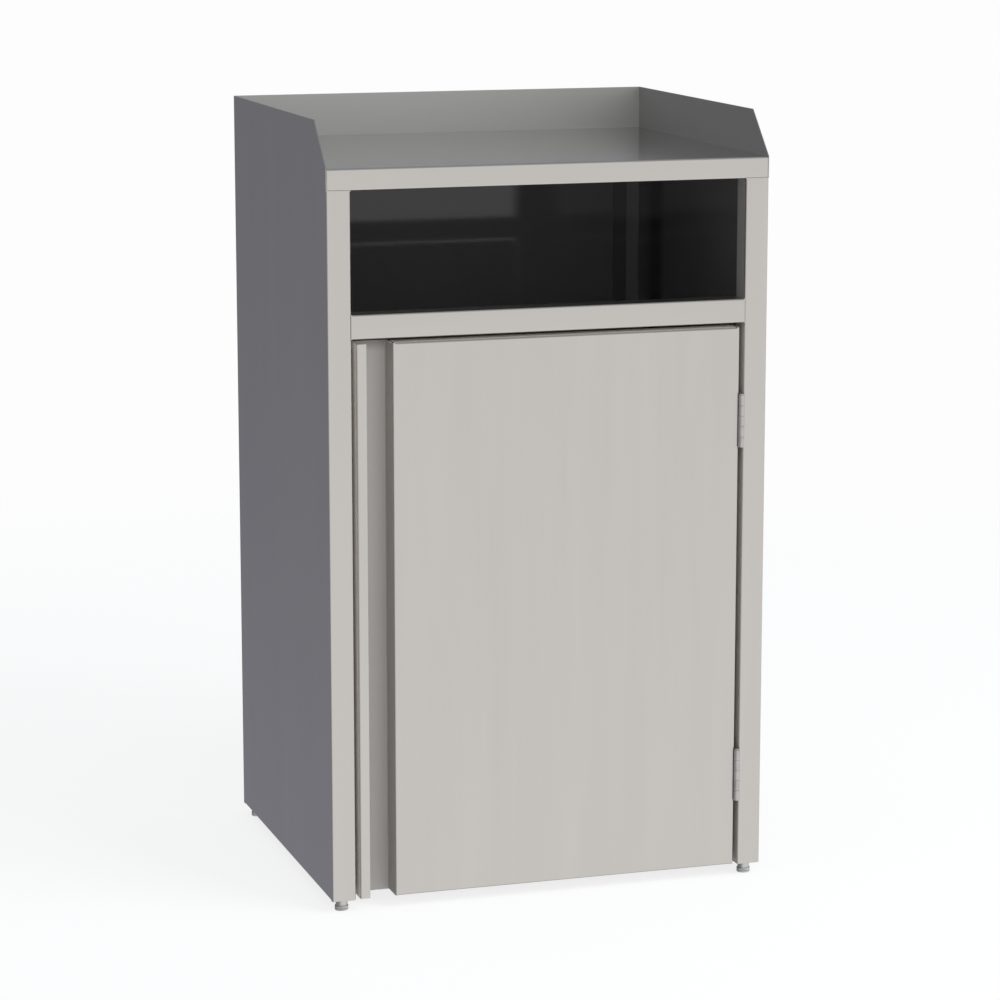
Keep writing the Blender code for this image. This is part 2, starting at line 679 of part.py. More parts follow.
def foot_nut(name, x, y, parent):
    """Make the hexagon nut welded on the foot flange."""
    bottom = PANEL_BOTTOM + SHEET + FIT
    radius = NUT_ACROSS_FLATS / math.sqrt(3)
    bm = bmesh.new()
    bmesh.ops.create_cone(
        bm, cap_ends=True, segments=6, radius1=radius, radius2=radius, depth=NUT_HEIGHT
    )
    bmesh.ops.translate(bm, verts=bm.verts, vec=(x, y, bottom + NUT_HEIGHT / 2))
    nut = place(name, bm, PLAIN_STEEL, parent)
    cut(nut, rod(STEM_RADIUS + FIT, bottom - SHEET, bottom + NUT_HEIGHT + SHEET, x, y))
    return nut


# Liner bin


def rounded_rectangle(bm, width, depth, corner, centre_y, height):
    """Draw a level rectangle with round corners, and return its face."""
    half_width, half_depth = width / 2, depth / 2
    corners = [(-half_width, -half_depth), (half_width, -half_depth)]
    corners += [(half_width, half_depth), (-half_width, half_depth)]
    verts = [bm.verts.new((x, centre_y + y, height)) for x, y in corners]
    bm.faces.new(verts)
    bmesh.ops.bevel(bm, geom=verts, offset=corner, segments=BIN_CORNER_STEPS, profile=0.5, affect="VERTICES")
    return next(iter(bm.faces))


def raise_rim(bm, edges, step, grow, centre_y):
    """Draw an open loop on by a step while it grows outward, and return the new loop."""
    drawn = bmesh.ops.extrude_edge_only(bm, edges=edges)["geom"]
    verts = [item for item in drawn if isinstance(item, bmesh.types.BMVert)]
    half_width = max(abs(vert.co.x) for vert in verts)
    half_depth = max(abs(vert.co.y - centre_y) for vert in verts)
    for vert in verts:
        vert.co.x *= (half_width + grow) / half_width
        vert.co.y = centre_y + (vert.co.y - centre_y) * (half_depth + grow) / half_depth
        vert.co.z += step
    return [item for item in drawn if isinstance(item, bmesh.types.BMEdge)]


def waste_bin(parent):
    """Mould the liner bin: a tapered tub with a step under its rim and a turned-down rim."""
    centre_y = (BASE_FRONT + BASE_BACK) / 2
    floor = BASE_TOP + FIT
    rim = MID_RAIL_BOTTOM - BIN_HEAD_GAP - BIN_WALL
    lower = rim - BIN_BAND_DROP - floor
    narrowing = BIN_WALL + BIN_RIM_WIDTH + BIN_BAND_STEP + BIN_TAPER
    base_width = WIDTH - 2 * (BIN_SIDE_GAP + narrowing)
    base_depth = BASE_BACK - BASE_FRONT - 2 * (BIN_END_GAP + narrowing)
    bm = bmesh.new()
    base = rounded_rectangle(bm, base_width, base_depth, BIN_CORNER, centre_y, floor)
    loop = list(base.edges)
    loop = raise_rim(bm, loop, lower, BIN_TAPER, centre_y)
    loop = raise_rim(bm, loop, BIN_BAND_STEP, BIN_BAND_STEP, centre_y)
    loop = raise_rim(bm, loop, BIN_BAND_DROP - BIN_BAND_STEP, 0, centre_y)
    loop = raise_rim(bm, loop, 0, BIN_RIM_WIDTH, centre_y)
    raise_rim(bm, loop, -BIN_RIM_DROP, 0, centre_y)
    bmesh.ops.recalc_face_normals(bm, faces=bm.faces)
    bm.faces.ensure_lookup_table()
    if base.normal.z > 0:
        bmesh.ops.reverse_faces(bm, faces=bm.faces)
    tub = place("waste_bin", bm, DARK_PLASTIC, parent)
    wall = tub.modifiers.new("wall", "SOLIDIFY")
    wall.thickness = BIN_WALL
    wall.offset = -1
    wall.use_even_offset = True
    return tub


def build():
    """Make every piece of the waste station."""
    for item in list(bpy.data.objects):
        bpy.data.objects.remove(item, do_unlink=True)

    cabinet = anchor("cabinet_anchor")
    side_panel("left_side_panel", -1, cabinet)
    side_panel("right_side_panel", 1, cabinet)
    rear_panel(cabinet)
    tray_top(cabinet)
    tray_stiffener(cabinet)
    mid_rail(cabinet)
    base_pan(cabinet)
    catch_bracket(cabinet)
    catch_body(cabinet)
    door_buffer(cabinet)
    waste_bin(cabinet)

    door = anchor("door_anchor", (HINGE_AXIS_X, HINGE_AXIS_Y, 0))
    door_panel(door)
    door_stiffener(door)
    strike_plate(door)

    for level, centre in HINGE_CENTRES.items():
        hinge_leaf(f"{level}_frame_leaf", 1, centre, 0, cabinet)
        hinge_leaf(f"{level}_door_leaf", -1, centre, 1, door)
        hinge_pin(f"{level}_hinge_pin", centre, cabinet)

    for corner, (x, y) in foot_places().items():
        foot_nut(f"{corner}_foot_nut", x, y, cabinet)
        levelling_foot(f"{corner}_foot", x, y, anchor(f"{corner}_foot_anchor", (x, y, 0)))


build()
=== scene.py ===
"""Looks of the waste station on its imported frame: finishes, fixings, feet, liner bin, studio and camera."""

import logging
import math
from dataclasses import dataclass, field
from enum import Enum
from typing import Iterable, Sequence, Union

import bmesh
import bpy
from bmesh.types import BMEdge, BMesh, BMVert
from mathutils import Matrix, Vector


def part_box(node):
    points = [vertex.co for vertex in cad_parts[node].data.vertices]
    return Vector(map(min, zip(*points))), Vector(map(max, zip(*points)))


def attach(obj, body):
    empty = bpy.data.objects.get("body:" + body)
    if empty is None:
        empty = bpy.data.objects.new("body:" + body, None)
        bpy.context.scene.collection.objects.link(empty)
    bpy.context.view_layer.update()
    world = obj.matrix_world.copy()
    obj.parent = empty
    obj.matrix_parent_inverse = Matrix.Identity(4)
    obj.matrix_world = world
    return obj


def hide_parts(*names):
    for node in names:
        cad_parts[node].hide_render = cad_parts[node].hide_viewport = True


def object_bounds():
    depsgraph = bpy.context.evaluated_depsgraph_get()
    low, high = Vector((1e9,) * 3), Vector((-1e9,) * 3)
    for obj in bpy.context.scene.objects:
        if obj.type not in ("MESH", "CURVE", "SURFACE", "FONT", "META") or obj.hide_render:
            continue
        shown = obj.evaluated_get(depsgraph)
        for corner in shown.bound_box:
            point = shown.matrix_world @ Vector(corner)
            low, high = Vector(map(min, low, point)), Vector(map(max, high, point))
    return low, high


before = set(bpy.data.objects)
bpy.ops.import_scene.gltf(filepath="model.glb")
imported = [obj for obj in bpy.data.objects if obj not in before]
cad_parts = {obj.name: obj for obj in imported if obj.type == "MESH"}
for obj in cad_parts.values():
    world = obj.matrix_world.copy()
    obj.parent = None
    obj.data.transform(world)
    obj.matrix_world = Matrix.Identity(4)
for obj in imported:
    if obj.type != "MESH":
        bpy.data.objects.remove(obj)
CAD_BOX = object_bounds()

LOG = logging.getLogger("waste_station")

Pair = tuple[float, float]
Triple = tuple[float, float, float]
Colour = Triple
Number = Union[float, "Socket"]

BLACK: Colour = (0.0, 0.0, 0.0)
STUDIO_WHITE: Colour = (0.982, 0.982, 0.982)

# Half the gauge of the sheet, by which a shader tells one face of a sheet from the other
SKIN = 0.0006

# Points nearer than this are one point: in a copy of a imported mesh, and in a turned mesh
MERGE = 0.00001
TURNED_MERGE = 0.000002

# How far faces may turn from each other and still be one flat, shade as one bend, or keep a plain edge
FLAT_ANGLE = math.radians(0.5)
BEND_ANGLE = math.radians(32)
CUT_ANGLE = math.radians(50)

# How far a cut edge of the sheet is eased
CUT_EDGE = 0.0002


class Grain(Enum):
    """Which way a sheet was brushed: the stretch of the brush marks along each axis, in marks per metre."""

    UPRIGHT = (900.0, 900.0, 4.0)
    ACROSS = (4.0, 900.0, 900.0)


class Body(Enum):
    """The bodies that a piece can ride on."""

    CABINET = "cabinet"
    DOOR = "door"


class Level(Enum):
    """Which of the two hinges."""

    UPPER = "upper"
    LOWER = "lower"


class Corner(Enum):
    """Where a levelling foot stands."""

    FRONT_LEFT = "front_left"
    FRONT_RIGHT = "front_right"
    REAR_LEFT = "rear_left"
    REAR_RIGHT = "rear_right"


# Shader graphs


class Socket:
    """A shader output that arithmetic can be written on."""

    def __init__(self, graph: "Graph", output: bpy.types.NodeSocket | None) -> None:
        """Keep the graph and the output.

        Args:
            graph: the graph that new nodes go into.
            output: the output that this value stands for, or None on an output node.
        """
        self.graph = graph
        self.output = output

    def _maths(self, operation: str, first: Number, second: Number) -> "Socket":
        """Add one Math node.

        Args:
            operation: the node's operation.
            first: its first value or link.
            second: its second value or link.

        Returns:
            The node's output.
        """
        return self.graph.node("ShaderNodeMath", {"operation": operation}, {0: first, 1: second})

    def __add__(self, other: Number) -> "Socket":
        """Add a value."""
        return self._maths("ADD", self, other)

    def __radd__(self, other: Number) -> "Socket":
        """Add to a value."""
        return self._maths("ADD", other, self)

    def __sub__(self, other: Number) -> "Socket":
        """Take a value away."""
        return self._maths("SUBTRACT", self, other)

    def __rsub__(self, other: Number) -> "Socket":
        """Take this away from a value."""
        return self._maths("SUBTRACT", other, self)

    def __mul__(self, other: Number) -> "Socket":
        """Multiply by a value."""
        return self._maths("MULTIPLY", self, other)

    def __rmul__(self, other: Number) -> "Socket":
        """Multiply a value by this."""
        return self._maths("MULTIPLY", other, self)

    def __gt__(self, other: Number) -> "Socket":
        """Give 1 where this is greater, else 0."""
        return self._maths("GREATER_THAN", self, other)

    def __lt__(self, other: Number) -> "Socket":
        """Give 1 where this is less, else 0."""
        return self._maths("LESS_THAN", self, other)

    def __abs__(self) -> "Socket":
        """Drop the sign."""
        return self._maths("ABSOLUTE", self, 0.0)

    def nearest(self, pitch: float) -> "Socket":
        """Give the distance to the nearest multiple of a pitch."""
        return self._maths("PINGPONG", self, pitch / 2)

    def swing(self) -> "Socket":
        """Give how far noise lies from its middle."""
        return self - 0.5

    def between(self, first: Number, second: Number) -> "Socket":
        """Give the first value where this mask is 0 and the second where it is 1."""
        return first * (1 - self) + second * self

    def ramp(self, low: float, high: float, start: float = 0.0, end: float = 1.0) -> "Socket":
        """Carry this from one span to another, smoothly and held at both ends.

        Args:
            low: where the ramp starts.
            high: where it ends.
            start: the result below low.
            end: the result above high.

        Returns:
            The ramped value.
        """
        return self.graph.node(
            "ShaderNodeMapRange",
            {"interpolation_type": "SMOOTHSTEP"},
            {"Value": self, "From Min": low, "From Max": high, "To Min": start, "To Max": end},
        )


class Graph:
    """A node tree that is written as expressions."""

    def __init__(self, tree: bpy.types.NodeTree) -> None:
        """Empty the tree and keep it.

        Args:
            tree: the material's or the world's node tree.
        """
        self.tree = tree
        tree.nodes.clear()

    def node(
        self,
        kind: str,
        settings: dict[str, object] | None = None,
        inputs: dict[str | int, object] | None = None,
        output: str | int = 0,
    ) -> Socket:
        """Add any node.

        Args:
            kind: the node's type.
            settings: what is set on the node first.
            inputs: the value or the link of each of its sockets, by name or number.
            output: which output to give back.

        Returns:
            That output.
        """
        made = self.tree.nodes.new(kind)
        for name, value in (settings or {}).items():
            setattr(made, name, value)
        for name, value in (inputs or {}).items():
            if isinstance(value, Socket):
                self.tree.links.new(value.output, made.inputs[name])
            else:
                made.inputs[name].default_value = value
        return Socket(self, made.outputs[output] if made.outputs else None)

    def axes(self) -> tuple[Socket, Socket, Socket]:
        """Give the three Object coordinates, which are the station's own metres."""
        place = self.node("ShaderNodeTexCoord", output="Object")
        return self.split(place)

    def split(self, vector: Socket) -> tuple[Socket, Socket, Socket]:
        """Take a vector apart.

        Args:
            vector: the vector.

        Returns:
            Its three parts.
        """
        parts = self.node("ShaderNodeSeparateXYZ", inputs={0: vector})
        return tuple(Socket(self, out) for out in parts.output.node.outputs)

    def length(self, vector: Socket) -> Socket:
        """Give a vector's length."""
        return self.node("ShaderNodeVectorMath", {"operation": "LENGTH"}, {0: vector}, output="Value")

    def noise(self, scale: Sequence[float], detail: float = 2.0, roughness: float = 0.5) -> Socket:
        """Give noise between 0 and 1 over the Object coordinates.

        Args:
            scale: how fine it is along each axis, per metre.
            detail: how many finer layers it has.
            roughness: how strong those are.

        Returns:
            The noise.
        """
        place = self.node("ShaderNodeTexCoord", output="Object")
        stretched = self.node("ShaderNodeMapping", inputs={"Vector": place, "Scale": scale})
        inputs = {"Vector": stretched, "Scale": 1.0, "Detail": detail, "Roughness": roughness}
        return self.node("ShaderNodeTexNoise", inputs=inputs)

    def tint(self, amount: Number, first: Colour | Socket, second: Colour | Socket) -> Socket:
        """Mix two colours.

        Args:
            amount: 0 for the first colour, 1 for the second.
            first: the first colour.
            second: the second colour.

        Returns:
            The mixed colour.
        """
        pair = [(*c, 1.0) if isinstance(c, tuple) else c for c in (first, second)]
        inputs = {0: amount, 6: pair[0], 7: pair[1]}
        return self.node("ShaderNodeMix", {"data_type": "RGBA"}, inputs, output=2)

    def bump(self, height: Socket, strength: float, distance: float) -> Socket:
        """Turn a height into a normal.

        Args:
            height: the height.
            strength: how much of it shows.
            distance: what a height of 1 is, in metres.

        Returns:
            The normal.
        """
        inputs = {"Height": height, "Strength": strength, "Distance": distance}
        return self.node("ShaderNodeBump", inputs=inputs)

    def surface(self, **inputs: object) -> None:
        """Add the Principled shader and the material's output.

        Args:
            inputs: the shader's sockets, with _ for a space.
        """
        named = {name.replace("_", " "): value for name, value in inputs.items()}
        shader = self.node("ShaderNodeBsdfPrincipled", inputs=named)
        self.node("ShaderNodeOutputMaterial", inputs={"Surface": shader})


def shaded(colour: Colour, factor: float) -> Colour:
    """Make a colour lighter or darker.

    Args:
        colour: the colour.
        factor: what each part is multiplied by.

    Returns:
        The new colour.
    """
    return tuple(min(1.0, part * factor) for part in colour)


def spread(colour: Colour, share: float) -> tuple[Colour, Colour]:
    """Give the dark end and the light end of a colour that swings by a share either way."""
    return shaded(colour, 1 - share), shaded(colour, 1 + share)


# Finishes


@dataclass(frozen=True)
class Finish:
    """What every finish has: a name, a colour and a roughness."""

    name: str
    tone: Colour
    roughness: float

    def material(self) -> bpy.types.Material:
        """Give the material, made the first time that it is asked for.

        Returns:
            The material.
        """
        name = f"{self.name}_finish"
        found = bpy.data.materials.get(name)
        if found:
            return found
        made = bpy.data.materials.new(name)
        made.use_nodes = True
        self.shade(Graph(made.node_tree))
        return made

    def shade(self, graph: Graph) -> None:
        """Fill the material's nodes.

        Args:
            graph: the material's graph.
        """
        raise NotImplementedError


@dataclass
class Look:
    """What a sheet's shader is given, point by point; each treatment changes it where it lies."""

    sheet_tone: Colour
    clouds: Socket
    colour: Socket
    roughness: Number
    metal: Number
    relief: Socket
    relief_height: float


class Treatment:
    """What is done to part of a sheet once it is brushed."""

    def lay(self, graph: Graph, look: Look) -> None:
        """Change the look where the treatment lies.

        Args:
            graph: the material's graph.
            look: the look so far, which is changed.
        """
        raise NotImplementedError


@dataclass(frozen=True)
class SpotWelds(Treatment):
    """Two upright rows of spot welds, which join the back to the side panels' flanges below the tray."""

    column: float = 0.280
    pitch: float = 0.085
    spot_core: float = 0.0022
    spot_edge: float = 0.0034
    ring_core: float = 0.0030
    ring_edge: float = 0.0058
    ring_tint: float = 0.35
    ring_shade: float = 0.62
    roughening: float = 0.08
    dimple: float = 2.5

    def lay(self, graph: Graph, look: Look) -> None:
        """Dimple each spot and tint the ring round it.

        Args:
            graph: the material's graph.
            look: the look so far, which is changed.
        """
        x, _, z = graph.axes()
        apart = {0: abs(x) - self.column, 1: z.nearest(self.pitch)}
        radius = graph.length(graph.node("ShaderNodeCombineXYZ", inputs=apart))
        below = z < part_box("tray_top")[0].z
        spot = radius.ramp(self.spot_core, self.spot_edge, 1.0, 0.0) * below
        ring = radius.ramp(self.ring_core, self.ring_edge, 1.0, 0.0) * below - spot
        look.colour = graph.tint(ring * self.ring_tint, look.colour, shaded(look.sheet_tone, self.ring_shade))
        look.roughness = look.roughness + spot * self.roughening
        look.relief = look.relief - spot * self.dimple


@dataclass(frozen=True)
class PullChannel(Treatment):
    """The door's sunk pull channel: duller and less metallic than the face, with painted light on its floor
    and painted shade on its wall and its head.
    """

    front: float = 0.001
    depth: float = 0.005
    # Painted light: how much lighter the channel is painted than the face
    lift: float = 1.14
    metal: float = 0.30
    roughening: float = 0.2
    wall_distance: float = 0.0486
    wall_half: float = 0.002
    # Painted shade on the channel's wall and on its head under the rail
    wall_shadow: float = 0.26
    head_height: float = 0.016
    head_shadow: float = 0.42
    shadow_tone: Colour = (0.02, 0.02, 0.02)

    def lay(self, graph: Graph, look: Look) -> None:
        """Dull what lies behind the door's face, paint it lighter, and paint shade on its wall and its head.

        Args:
            graph: the material's graph.
            look: the look so far, which is changed.
        """
        x, y, z = graph.axes()
        low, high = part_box("door_panel")
        deep = y.ramp(low.y + self.front, low.y + self.depth)
        wall = abs(x - low.x - self.wall_distance) < self.wall_half
        head = z.ramp(high.z - self.head_height, high.z) * (1 - wall)
        # Painted shade on the wall and the head, over a channel painted lighter than the face
        painted_shade = wall * self.wall_shadow + head * self.head_shadow
        floor = graph.tint(painted_shade, shaded(look.sheet_tone, self.lift), self.shadow_tone)
        look.colour = graph.tint(deep, look.colour, floor)
        look.roughness = look.roughness + deep * self.roughening
        look.metal = deep.between(look.metal, self.metal)


@dataclass(frozen=True)
class DarkLining(Treatment):
    """A dark gloss coat on the faces inside the cabinet's walls, behind its stiles and below its tray."""

    tone: Colour = (0.226, 0.222, 0.216)
    roughness: float = 0.05
    clouding: float = 0.3
    tone_spread: float = 0.15
    rear_bend: float = 0.0042
    lean: float = 0.0
    lean_level: float = 0.87

    def within(self, graph: Graph) -> Socket:
        """Give 1 on the lined faces, short of the outer rear bends.

        Args:
            graph: the material's graph.

        Returns:
            The mask.
        """
        reach = CAD_BOX[1]
        back_of_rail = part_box("mid_rail")[1].y
        x, y, z = graph.axes()
        across = (abs(x) < reach.x - SKIN) * (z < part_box("tray_top")[1].z - SKIN)
        before_bend = abs(x) + y < reach.x + reach.y - self.rear_bend
        return across * (y > back_of_rail + SKIN) * (y < reach.y - SKIN) * before_bend

    def coat(self, graph: Graph, clouds: Socket) -> Socket:
        """Cloud the coat's colour.

        Args:
            graph: the material's graph.
            clouds: the sheet's clouds.

        Returns:
            The colour.
        """
        return graph.tint(clouds.swing() * self.clouding + 0.5, *spread(self.tone, self.tone_spread))

    def lay(self, graph: Graph, look: Look) -> None:
        """Coat the lined faces, and lean their shading by a slope, which moves what they mirror up or down.

        Args:
            graph: the material's graph.
            look: the look so far, which is changed.
        """
        within = self.within(graph)
        look.colour = graph.tint(within, look.colour, self.coat(graph, look.clouds))
        look.roughness = within.between(look.roughness, self.roughness)
        look.metal = within.between(look.metal, 0.0)
        if self.lean:
            _, _, z = graph.axes()
            look.relief = look.relief + within * (z - self.lean_level) * (self.lean / look.relief_height)


@dataclass(frozen=True)
class SideLining(DarkLining):
    """The lining of a side panel, with painted shade beside the rear corner and painted light on the flange's
    outer half.
    """

    flange_depth: float = 0.0033
    flange_middle: float = 0.280
    # Painted shade on the flange's inner half, and painted light on its outer half
    flange_shade: float = 0.30
    flange_lift: float = 1.40
    # Painted shade on a strip of the side wall before the rear corner
    wall_shade: float = 0.60
    shade_front: Pair = (0.135, 0.170)
    shade_back: Pair = (0.185, 0.245)

    def coat(self, graph: Graph, clouds: Socket) -> Socket:
        """Cloud the coat's colour, paint shade on it towards the rear corner, and paint light on the flange's
        outer half.

        Args:
            graph: the material's graph.
            clouds: the sheet's clouds.

        Returns:
            The colour.
        """
        reach = CAD_BOX[1]
        x, y, _ = graph.axes()
        flange = y > reach.y - self.flange_depth
        outer = flange * (abs(x) > self.flange_middle)
        wall = (abs(x) > reach.x - 3 * SKIN) * y.ramp(*self.shade_front) * y.ramp(*self.shade_back, 1.0, 0.0)
        # Painted shade on the wall strip and on the flange's inner half, and painted light on its outer half
        dark = wall * self.wall_shade + (flange - outer) * self.flange_shade
        shaded_coat = graph.tint(dark, super().coat(graph, clouds), BLACK)
        return graph.tint(outer, shaded_coat, shaded(self.tone, self.flange_lift))


@dataclass(frozen=True)
class TrayFace(Treatment):
    """The tray floor and the faces of the galleries that look at it: a gloss of their own, and a tone per
    sheet that paints their light and shade.
    """

    # Painted light and shade: each sheet's copy sets its own tone
    tone: Colour
    roughness: float
    tone_spread: float = 0.04
    gloss_spread: float = 0.06
    wear: float = 0.8

    def lay(self, graph: Graph, look: Look) -> None:
        """Wear the brush marks down, set the gloss, and paint the tone that stands in for their light and
        shade.

        Args:
            graph: the material's graph.
            look: the look so far, which is changed.
        """
        reach = CAD_BOX[1]
        x, y, z = graph.axes()
        above = (abs(x) < reach.x - SKIN) * (y < reach.y - SKIN) * (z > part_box("tray_top")[1].z - SKIN)
        # Painted light and shade: this sheet's tone, clouded
        painted_light_tone = graph.tint(look.clouds, *spread(self.tone, self.tone_spread))
        look.colour = graph.tint(above, look.colour, painted_light_tone)
        gloss = look.clouds.swing() * self.gloss_spread + self.roughness
        look.roughness = above.between(look.roughness, gloss)
        look.relief = look.relief * (1 - above * self.wear)


@dataclass(frozen=True)
class GapWalls(Treatment):
    """Painted light on the door's edges, the stile returns round the door and the aperture, and the rail's
    underside.
    """

    # Painted light: how much paler the walls of the gaps are painted than the faces
    lift: float = 1.60
    metal: float = 0.0
    front: float = 0.001
    depth: float = 0.004

    def lay(self, graph: Graph, look: Look) -> None:
        """Paint the edges paler and make them less metallic than the faces: painted light in the gaps.

        Args:
            graph: the material's graph.
            look: the look so far, which is changed.
        """
        low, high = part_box("door_panel")
        rail_low, rail_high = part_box("mid_rail")
        x, y, z = graph.axes()
        deep = y.ramp(low.y + self.front, low.y + self.depth) * (y < rail_high.y + SKIN)
        door_face = (x > low.x + SKIN) * (x < high.x - SKIN) * (z < high.z - SKIN)
        jamb = (abs(x) > rail_high.x - 2 * SKIN) * (z > rail_high.z) * (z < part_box("tray_top")[0].z)
        beside = (abs(x) < rail_high.x + 2 * SKIN) * ((z < rail_low.z + SKIN) + jamb)
        edge = deep * beside * (1 - door_face)
        # Painted light on the walls of the gaps
        look.colour = graph.tint(edge, look.colour, shaded(look.sheet_tone, self.lift))
        look.metal = edge.between(look.metal, self.metal)


@dataclass(frozen=True)
class BrushedSheet(Finish):
    """Stainless sheet: satin brushed along its grain, with faint bands and clouds, and then treated."""

    grain: Grain = Grain.UPRIGHT
    treatments: tuple[Treatment, ...] = ()
    streak: float = 0.050
    fine_streak: float = 0.6
    fine_scale: float = 3.1
    fine_relief: float = 0.4
    banding: float = 0.085
    band_scale: float = 0.035
    band_floor: float = 2.5
    clouding: float = 0.110
    cloud_scale: Triple = (3.0, 3.0, 2.0)
    tone_spread: float = 0.4
    cloud_gloss: float = 0.08
    mark_gloss: float = 0.06
    specular: float = 0.41
    tooth: float = 0.12
    tooth_depth: float = 0.00006

    def brushed(self, graph: Graph) -> Look:
        """Brush the bare sheet.

        Args:
            graph: the material's graph.

        Returns:
            The look of the sheet before its treatments.
        """
        marks = graph.noise(self.grain.value, detail=3.0, roughness=0.6)
        fine = graph.noise([part * self.fine_scale for part in self.grain.value], detail=1.0)
        bands = graph.noise([max(part * self.band_scale, self.band_floor) for part in self.grain.value])
        clouds = graph.noise(self.cloud_scale)
        drift = bands.swing() * self.banding + clouds.swing() * self.clouding
        shade = marks.swing() * self.streak + fine.swing() * (self.streak * self.fine_streak) + drift + 0.5
        return Look(
            sheet_tone=self.tone,
            clouds=clouds,
            colour=graph.tint(shade, *spread(self.tone, self.tone_spread)),
            roughness=clouds.swing() * self.cloud_gloss + marks.swing() * self.mark_gloss + self.roughness,
            metal=1.0,
            relief=marks * (1 - self.fine_relief) + fine * self.fine_relief,
            relief_height=self.tooth * self.tooth_depth,
        )

    def shade(self, graph: Graph) -> None:
        """Brush the sheet and lay its treatments on it, in order.

        Args:
            graph: the material's graph.
        """
        look = self.brushed(graph)
        for treatment in self.treatments:
            treatment.lay(graph, look)
        graph.surface(
            Base_Color=look.colour,
            Metallic=look.metal,
            Roughness=look.roughness,
            Specular_IOR_Level=self.specular,
            Normal=graph.bump(look.relief, self.tooth, self.tooth_depth),
        )


@dataclass(frozen=True)
class SmoothMetal(Finish):
    """Plain metal of a fitting: rolled, turned or plated, with a fine cloudy surface."""

    cloud_size: float = 60.0
    cloud_depth: float = 0.10
    cloud_low: float = 0.3
    cloud_high: float = 0.7
    gloss_spread: float = 0.16
    metal: float = 1.0
    tooth_size: float = 2500.0
    tooth: float = 0.1
    tooth_depth: float = 0.00005

    def shade(self, graph: Graph) -> None:
        """Vary the tone and the gloss in small clouds, with a fine tooth.

        Args:
            graph: the material's graph.
        """
        clouds = graph.noise((self.cloud_size,) * 3, detail=3.0)
        tooth = graph.noise((self.tooth_size,) * 3, detail=1.0)
        cloudy = clouds.ramp(self.cloud_low, self.cloud_high)
        graph.surface(
            Base_Color=graph.tint(cloudy, *spread(self.tone, self.cloud_depth)),
            Metallic=self.metal,
            Roughness=clouds.swing() * self.gloss_spread + self.roughness,
            Normal=graph.bump(tooth, self.tooth, self.tooth_depth),
        )


@dataclass(frozen=True)
class MouldedPlastic(Finish):
    """Moulded plastic with a spark-eroded grain and scuffs."""

    grain_size: float = 1400.0
    grain_height: float = 0.0002
    grain_strength: float = 0.25
    grain_gloss: float = 0.15
    scuff: float = 0.25
    scuff_scale: Triple = (60.0, 60.0, 9.0)
    scuff_low: float = 0.58
    scuff_high: float = 0.75
    scuff_lift: float = 2.6
    scuff_gloss: float = 0.1
    cloud_size: float = 6.0
    cloud_depth: float = 0.15
    specular: float = 0.4

    def shade(self, graph: Graph) -> None:
        """Grain the surface finely and lighten it where it has been scuffed.

        Args:
            graph: the material's graph.
        """
        grain = graph.noise((self.grain_size,) * 3)
        scratches = graph.noise(self.scuff_scale, detail=4.0, roughness=0.7)
        scuffs = scratches.ramp(self.scuff_low, self.scuff_high)
        base = graph.tint(graph.noise((self.cloud_size,) * 3), *spread(self.tone, self.cloud_depth))
        graph.surface(
            Base_Color=graph.tint(scuffs * self.scuff, base, shaded(self.tone, self.scuff_lift)),
            Roughness=grain.swing() * self.grain_gloss + scuffs * self.scuff_gloss + self.roughness,
            Normal=graph.bump(grain, self.grain_strength, self.grain_height),
            Specular_IOR_Level=self.specular,
        )


@dataclass(frozen=True)
class PaleFloor(Finish):
    """The studio floor: pale, matt, and fading out before its edge."""

    fade_start: float = 1.5
    fade_end: float = 3.2
    lift: float = 0.60
    lift_strength: float = 1.315
    mottle_size: float = 5.0
    mottle_shade: float = 0.995

    def shade(self, graph: Graph) -> None:
        """Light the floor for the camera, keep the shadow, and let it run out into the background.

        Args:
            graph: the material's graph.
        """
        away = graph.length(graph.node("ShaderNodeTexCoord", output="Object"))
        mottle = graph.noise((self.mottle_size,) * 3)
        colour = graph.tint(mottle, shaded(self.tone, self.mottle_shade), self.tone)
        matt = graph.node("ShaderNodeBsdfDiffuse", inputs={"Color": colour, "Roughness": self.roughness})
        seen = graph.node("ShaderNodeLightPath", output="Is Camera Ray")
        white = {"Color": (*STUDIO_WHITE, 1.0), "Strength": self.lift_strength}
        lit = graph.node("ShaderNodeEmission", inputs=white)
        floor = graph.node("ShaderNodeMixShader", inputs={0: seen * self.lift, 1: matt, 2: lit})
        gone = away.ramp(self.fade_start, self.fade_end)
        clear = graph.node("ShaderNodeBsdfTransparent")
        faded = graph.node("ShaderNodeMixShader", inputs={0: gone, 1: floor, 2: clear})
        graph.node("ShaderNodeOutputMaterial", inputs={"Surface": faded})


STEEL: Colour = (0.618, 0.591, 0.558)
SATIN = 0.34

# The tray tones are painted light and shade: darker on the side galleries and the tray floor, lighter on the
# rear gallery
SIDE_TREATMENTS = (SideLining(), TrayFace((0.455, 0.448, 0.444), 0.50))
BACK_TREATMENTS = (SpotWelds(), DarkLining(lean=0.0083), TrayFace((0.765, 0.742, 0.706), 0.56))
RAIL_TREATMENTS = (DarkLining(), TrayFace((0.490, 0.482, 0.470), 0.14), GapWalls())

PANEL = BrushedSheet("brushed_panel", STEEL, SATIN, Grain.UPRIGHT, (*SIDE_TREATMENTS, GapWalls()))
